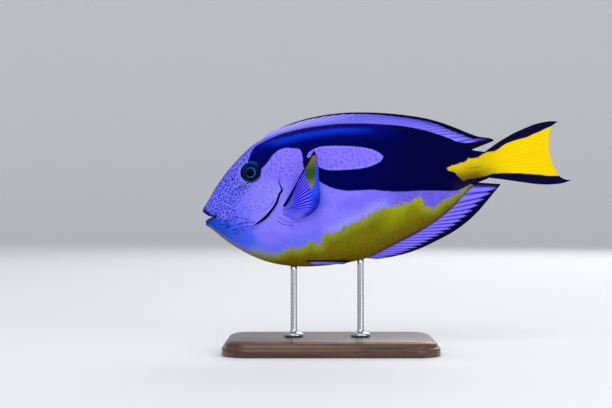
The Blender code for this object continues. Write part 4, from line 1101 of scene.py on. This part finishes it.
def skin_paint():
    """Violet-blue skin with dots, fine winding lines, night-blue bands, gold belly and tail, with a painted highlight
    along the back and painted shade low on the belly and stalk, in the gill slit, mouth and nostrils.
    """
    p = Paint("skin_look", specular=0.06, tint=SKIN_SHEEN)
    blots, fine, grain = p.noise(14.0, detail=3.0), p.noise(2.2, detail=4.0), p.noise(0.9, detail=2.0)
    speckle = p.noise(2.6, detail=3.0, roughness=0.75)
    wrinkles = p.noise(1.15, stretch=(0.3, 1.0, 1.0), detail=1.0, distortion=0.3)
    between, _ = p.cells(1.7, randomness=0.85)
    worms = p.times(p.ramp(p.wavy(between, fine, 0.25), 0.40, 0.62), p.mark("labyrinth"))

    colour = p.layers(
        p.mix(p.ramp(blots, 0.35, 0.65), PERIWINKLE_DEEP, PERIWINKLE),
        (p.times(p.mark("cheek"), 0.75), PERIWINKLE_PALE),
        (p.times(p.mark("snout"), 0.9), SNOUT_BLUE),
        (p.times(p.mark("chest"), 0.85), CHEST_BLUE),
        (p.times(p.mark("ash"), 0.8), ASH_LILAC),
        (p.mark("wedge"), WEDGE_VIOLET),
        (p.times(p.mark("labyrinth"), 0.7), OVAL_VIOLET),
        (p.times(worms, 0.7), WORM_VIOLET),
        (p.times(p.mark("oval_rim"), 0.5), PERIWINKLE_PALE),
        (p.times(p.ramp(fine, 0.5, 0.8), 0.25), PERIWINKLE_PALE),
        (p.times(p.ramp(grain, 0.48, 0.64), 0.55), PERIWINKLE_DEEP),
        (p.mark("chin"), CHIN_BLUE),
        (p.times(p.mark("chin_deep"), 0.9), CHIN_DEEP),
        (p.times(p.mark("olive"), p.ramp(fine, 0.3, 0.6), 0.8), FACE_OLIVE),
        (p.times(p.mark("murk"), p.ramp(grain, 0.35, 0.6), 0.7), FACE_MURK),
    )
    spot, chance = p.cells(1.65, randomness=0.65)
    dotted = p.mark("dotted")
    chosen = p.ramp(p.math("SUBTRACT", p.math("MULTIPLY", dotted, 1.6), chance), -0.02, 0.02)
    size = p.math("MULTIPLY_ADD", dotted, 0.14, 0.15)
    dots = p.times(p.ramp(p.math("SUBTRACT", spot, size), 0.07, -0.07), chosen)
    dots = p.times(dots, p.math("MULTIPLY_ADD", dotted, 0.7, 0.25))
    colour = p.layers(
        colour,
        (dots, DOT_NAVY),
        (p.times(p.line("lone_dot", 0.2), 0.85), DOT_NAVY),
        (p.times(p.ramp(wrinkles, 0.53, 0.6), p.mark("folded"), 0.8), FOLD_BLUE),
        (p.times(p.line("fold", 0.25), 0.85), FOLD_BLUE),
        (p.times(p.mark("lip"), 0.85), LIP_BLUE),
        # Painted shade in the mouth slit
        (p.times(p.line("mouth", 0.6), 0.85), MOUTH_SHADE),
        (p.times(p.mark("throat"), 0.85), THROAT_OLIVE),
        (p.line("cheek_line", 0.15), CREASE_BLUE),
    )

    gold = p.layers(
        # Painted shade: the gold darkens towards the bottom of the belly
        p.mix(p.ramp(p.mark("above_belly"), 1.0, 13.0), GOLD_LOW, GOLD_MID),
        (p.times(p.mark("gold_rim"), 0.8), GOLD_HIGH),
        (p.times(p.mark("gold_rear"), 0.55), GOLD_REAR),
        (p.times(p.ramp(blots, 0.55, 0.75), 0.3), GOLD_LOW),
        (p.times(p.ramp(fine, 0.45, 0.75), 0.15), GOLD_HIGH),
        (p.times(p.ramp(grain, 0.45, 0.7), 0.2), GOLD_LOW),
        (p.times(p.line("anal_line", 0.7), 0.8), BASE_BROWN),
    )
    edge = p.wavy(p.mark("belly"), speckle, p.mark("belly_grain"))
    edge = p.math("DIVIDE", edge, p.mark("belly_soft"))
    colour = p.mix(p.ramp(edge, -1.0, 1.0), colour, gold)

    night = p.layers(
        p.mix(p.mark("rear"), NIGHT, NIGHT_REAR),
        # Painted highlight along the upper back: dim fringe, then bright band
        (p.times(p.mark("dusk"), 0.9), HIGHLIGHT_FRINGE_BLUE),
        (p.mark("glow"), HIGHLIGHT_BLUE),
        (p.times(p.mark("brown"), p.ramp(fine, 0.2, 0.6), 0.9), STALK_BROWN),
    )
    colour = p.mix(p.ramp(p.wavy(p.mark("black"), grain, 0.7), -0.3, 0.3), colour, night)
    tail = p.layers(
        # Painted shade low on the stalk
        TAIL_GOLD, (p.mark("stalk"), TAIL_STALK), (p.mark("stalk_low"), TAIL_SHADE),
        (p.times(p.ramp(fine, 0.55, 0.75), 0.25), TAIL_LINE),
    )
    colour = p.layers(
        colour,
        (p.ramp(p.wavy(p.mark("tail"), speckle, 2.6), -0.35, 0.35), tail),
        # Painted shade in the gill slit
        (p.line("slit", 0.12), INK),
        (p.line("orbit", 0.25), INK),
        (p.times(p.mark("orbit_teal"), 0.5), srgb(50, 130, 190)),
        (p.times(p.mark("orbit_lilac"), 0.5), PERIWINKLE_PALE),
        # Painted shade inside the nostril pits
        (p.mark("pore"), INK),
        # Painted shade inside the open mouth
        (p.mark("inside"), srgb(4, 8, 60)),
    )
    scales, _ = p.cells(0.8, randomness=0.7)
    height = p.math("ADD", p.times(scales, 0.5), p.times(worms, -0.35))
    p.bump(p.math("ADD", height, p.times(fine, 0.5)), 0.10, 0.4)
    return p.finish(colour, p.math("MULTIPLY_ADD", fine, 0.2, 0.4))


def fin_paint():
    """Lilac to deep violet fins with thin dark lines between the rays, and a black edge."""
    p = Paint("fin_look", specular=0.12, tint=SKIN_SHEEN)
    fine = p.noise(2.0, stretch=(1.0, 0.3, 1.0), detail=3.0)
    outer, rear, dorsal = p.mark("outer"), p.mark("rear"), p.mark("dorsal")
    back = p.layers(
        FIN_BLUE,
        (p.times(p.ramp(outer, 0.45, 0.95), rear), FIN_DEEP),
        (p.times(p.ramp(outer, 0.15, 0.6), p.mark("front")), FIN_FRONT),
    )
    under = p.mix(p.times(p.ramp(outer, 0.55, 1.0), p.math("MULTIPLY_ADD", rear, 0.5, 0.5)), FIN_LILAC, FIN_DEEP)
    colour = p.mix(dorsal, under, back)
    line_share = p.math("MULTIPLY_ADD", p.mark("front"), -0.25, p.math("MULTIPLY_ADD", rear, 0.1, 0.85))
    lines = p.times(p.mark("gap"), line_share, p.ramp(outer, -0.5, 0.45))
    margin = p.ramp(p.wavy(p.mark("margin"), fine, 0.8), -0.3, 0.25)
    colour = p.layers(
        colour,
        (p.times(p.ramp(p.wavy(p.mark("ray"), fine, 0.35), 0.3, 0.8), 0.22), PERIWINKLE_PALE),
        (lines, FIN_LINE),
        (p.line("base", 0.35), srgb(0, 0, 40)),
        (margin, INK),
        (p.times(p.mark("tip"), 0.85), TIP_MAROON),
        (p.mark("under"), INK),
    )
    p.bump(p.math("ADD", fine, p.mark("ray")), 0.15, 0.5)
    return p.finish(colour, p.math("MULTIPLY_ADD", fine, 0.2, 0.38))


def pectoral_paint():
    """Pale rays on deep blue, a black leading edge, a yellow-green patch and a blue outer band."""
    p = Paint("pectoral_look", specular=0.12, tint=SKIN_SHEEN)
    fine = p.noise(2.0, stretch=(1.0, 0.25, 1.0), detail=3.0)
    rays = p.ramp(p.wavy(p.mark("ray"), fine, 0.4), 0.25, 0.75)
    web = p.layers(srgb(38, 20, 214), (p.times(p.mark("low"), 0.9), srgb(112, 102, 242)))
    colour = p.mix(rays, web, srgb(136, 126, 255))
    colour = p.mix(p.times(p.mark("gap"), p.math("MULTIPLY_ADD", p.mark("low"), -0.3, 0.7)), colour, srgb(22, 2, 190))
    colour = p.mix(p.times(p.mark("root"), p.ramp(fine, 0.35, 0.6), 0.55), colour, PERIWINKLE_PALE)
    band = p.mix(rays, srgb(10, 62, 232), srgb(78, 88, 255))
    green = p.layers(
        srgb(26, 78, 30), (p.mark("green_top"), srgb(146, 112, 2)), (p.mark("green_low"), srgb(116, 134, 22)),
        (p.times(rays, 0.2), srgb(120, 136, 24)),
    )
    colour = p.layers(
        colour,
        (p.ramp(p.mark("blue"), -1.2, 1.2), band),
        (p.times(p.mark("corner"), 0.75), srgb(8, 20, 150)),
        (p.ramp(p.wavy(p.mark("green"), fine, 0.6), -0.3, 0.4), green),
        (p.times(p.mark("rim"), 0.25), srgb(4, 12, 120)),
        (p.line("lead", 0.3), INK),
    )
    p.bump(p.math("ADD", fine, p.mark("ray")), 0.15, 0.5)
    return p.finish(colour, p.math("MULTIPLY_ADD", fine, 0.2, 0.36))


def tail_paint():
    """Gold tail fin with fine rays between two black bands, and painted shade low on the stalk."""
    p = Paint("tail_look", specular=0.05)
    fine = p.noise(3.0, stretch=(0.25, 1.0, 1.0), detail=4.0)
    gold = p.layers(
        TAIL_GOLD,
        (p.mark("stalk"), TAIL_STALK),
        # Painted shade low on the stalk
        (p.mark("stalk_low"), TAIL_SHADE),
        (p.times(p.mark("gap"), 0.22), TAIL_LINE),
        (p.times(p.ramp(fine, 0.55, 0.75), 0.25), TAIL_LINE),
    )
    band = p.mix(p.times(p.mark("gap"), 0.5), srgb(1, 0, 52), srgb(0, 0, 26))
    colour = p.mix(p.ramp(p.wavy(p.mark("tail"), fine, 0.7), -0.3, 0.3), band, gold)
    p.bump(p.math("ADD", fine, p.mark("ray")), 0.15, 0.5)
    return p.finish(colour, p.math("MULTIPLY_ADD", fine, 0.15, 0.42))


def eye_paint():
    """Black pupil in a thin light-blue ring, dark iris, and dim teal lines near the rim."""
    p = Paint("eye_look", flat=False, specular=0.05, tint=SKIN_SHEEN)
    radius, upward, forward = p.mark("radius"), p.mark("upward"), p.mark("forward")
    fine = p.noise(0.9, detail=3.0)
    iris = p.mix(p.ramp(upward, -0.6, 0.8), srgb(2, 14, 16), srgb(0, 8, 66))
    iris = p.mix(p.times(p.ramp(fine, 0.5, 0.7), 0.4), iris, srgb(6, 34, 70))

    def ring(at, width):
        away = p.math("ABSOLUTE", p.math("SUBTRACT", p.wavy(radius, fine, 0.2), at))
        return p.ramp(away, width, width * 0.35)

    colour = p.layers(
        iris,
        (p.times(ring(5.5, 0.3), p.ramp(upward, 0.1, 0.8), 0.4), srgb(30, 110, 140)),
        (p.times(ring(4.7, 0.25), p.ramp(forward, 0.0, 0.8), 0.4), srgb(16, 84, 104)),
        (p.times(ring(2.85, 0.36), p.ramp(forward, 1.8, -0.6)), srgb(40, 100, 196)),
        (p.ramp(radius, 2.65, 2.4), srgb(1, 1, 4)),
        (p.times(p.ramp(radius, 4.9, 5.5), p.ramp(upward, -0.45, -0.85), 0.7), srgb(84, 84, 176)),
    )
    return p.finish(colour, p.math("MULTIPLY_ADD", fine, 0.06, 0.08))


def scalpel_paint():
    """Horn-coloured blade, darker along its underside as painted shade."""
    p = Paint("scalpel_look", flat=False, specular=0.12)
    fine = p.noise(1.4, stretch=(0.2, 1.0, 1.0), detail=3.0)
    colour = p.mix(fine, srgb(182, 160, 4), srgb(214, 192, 14))
    # Painted shade: darker along the blade's underside
    colour = p.mix(p.times(p.ramp(p.mark("lower"), 0.3, 0.9), 0.6), colour, srgb(84, 66, 4))
    p.bump(fine, 0.05, 0.5)
    return p.finish(colour, p.math("MULTIPLY_ADD", fine, 0.15, 0.3))


def wood_paint():
    """Dark varnished wood with a long grain."""
    p = Paint("wood_look", flat=False, coat_weight=0.35, coat_roughness=0.16)
    rings = p.noise(9.0, stretch=(0.10, 1.0, 1.0), detail=5.0, distortion=0.8, roughness=0.6)
    pores = p.noise(0.8, stretch=(0.06, 1.0, 1.0), detail=2.0)
    colour = p.mix(p.ramp(rings, 0.35, 0.65), srgb(58, 34, 22), srgb(98, 60, 36))
    colour = p.mix(p.times(p.ramp(pores, 0.55, 0.75), 0.6), colour, srgb(36, 20, 12))
    p.bump(p.math("SUBTRACT", rings, pores), 0.12, 0.35)
    return p.finish(colour, p.math("MULTIPLY_ADD", rings, 0.18, 0.26))


def steel_paint():
    """Brushed steel, turned round the rod."""
    p = Paint("steel_look", flat=False, metallic=1.0)
    lines = p.noise(0.35, stretch=(0.15, 0.15, 1.0), detail=2.0)
    p.bump(lines, 0.02, 0.4)
    colour = p.mix(lines, srgb(176, 178, 184), srgb(208, 209, 214))
    return p.finish(colour, p.math("MULTIPLY_ADD", lines, 0.16, 0.2))


# Round floor that sweeps up into a low wall: radius, radius of the sweep and height, in metres
FLOOR_RADIUS, SWEEP, WALL_HEIGHT, SWEEP_STEPS, FLOOR_SIDES = 3.4, 0.6, 1.3, 14, 128
# Lights: place, size in metres, power in watts
LIGHTS = (
    ("key", (-0.45, -1.6, 1.25), 1.3, 15.0), ("fill", (1.1, -1.5, 0.6), 1.3, 8.0),
    ("top", (0.0, 0.1, 1.5), 1.2, 4.0), ("back", (0.5, 1.5, 1.0), 1.3, 9.0),
)
LIGHT_AIM = (0.0, 0.0, 0.085)
WORLD_STRENGTH = 0.49


def build_room():
    """Plain pale floor curving up all round, soft studio lights, and the camera."""
    scene = bpy.context.scene
    profile = [(FLOOR_RADIUS - SWEEP, 0.0)]
    for i in range(1, SWEEP_STEPS + 1):
        angle = math.pi / 2 * i / SWEEP_STEPS
        profile.append((FLOOR_RADIUS - SWEEP * (1 - math.sin(angle)), SWEEP * (1 - math.cos(angle))))
    profile.append((FLOOR_RADIUS, WALL_HEIGHT))
    turns = [2 * math.pi * k / FLOOR_SIDES for k in range(FLOOR_SIDES)]
    points = [(r * math.cos(turn), r * math.sin(turn), z) for r, z in profile for turn in turns]
    faces = [tuple(range(FLOOR_SIDES))]
    for ring in range(len(profile) - 1):
        for k in range(FLOOR_SIDES):
            a, b = ring * FLOOR_SIDES + k, ring * FLOOR_SIDES + (k + 1) % FLOOR_SIDES
            faces.append((b, a, a + FLOOR_SIDES, b + FLOOR_SIDES))
    mesh = bpy.data.meshes.new("floor")
    mesh.from_pydata(points, [], faces)
    mesh.shade_smooth()
    floor = bpy.data.objects.new("floor", mesh)
    scene.collection.objects.link(floor)
    pale = bpy.data.materials.new("floor_look")
    pale.use_nodes = True
    shader = pale.node_tree.nodes["Principled BSDF"]
    shader.inputs["Base Color"].default_value = srgb(243, 244, 246)
    shader.inputs["Roughness"].default_value = 0.7
    mesh.materials.append(pale)

    for name, at, size, power in LIGHTS:
        lamp = bpy.data.lights.new(name, "AREA")
        lamp.shape, lamp.size, lamp.energy = "DISK", size, power
        made = bpy.data.objects.new(name, lamp)
        made.location = at
        made.rotation_euler = (Vector(LIGHT_AIM) - Vector(at)).to_track_quat("-Z", "Y").to_euler()
        scene.collection.objects.link(made)
    world = bpy.data.worlds.new("room")
    world.use_nodes = True
    background = world.node_tree.nodes["Background"]
    background.inputs["Color"].default_value = srgb(238, 240, 246)
    background.inputs["Strength"].default_value = WORLD_STRENGTH
    scene.world = world
    scene.view_settings.view_transform = "Standard"

    camera = bpy.data.objects.new("camera", bpy.data.cameras.new("camera"))
    camera.data.lens, camera.data.sensor_width = 85.0, 36.0
    camera.location = (-0.0487, -0.8688, 0.0887)
    camera.rotation_euler = (math.pi / 2, 0.0, 0.0)
    scene.collection.objects.link(camera)
    scene.camera = camera


def main():
    skin, fins = skin_paint(), fin_paint()
    build_skin(skin)
    build_lips(skin)
    build_median_fins(fins)
    build_caudal_fin(tail_paint())
    build_paired_fins({"fin": fins, "pectoral": pectoral_paint()})
    build_eyes(eye_paint())
    build_scalpels(scalpel_paint())
    build_stand(wood_paint(), steel_paint())
    build_room()


main()
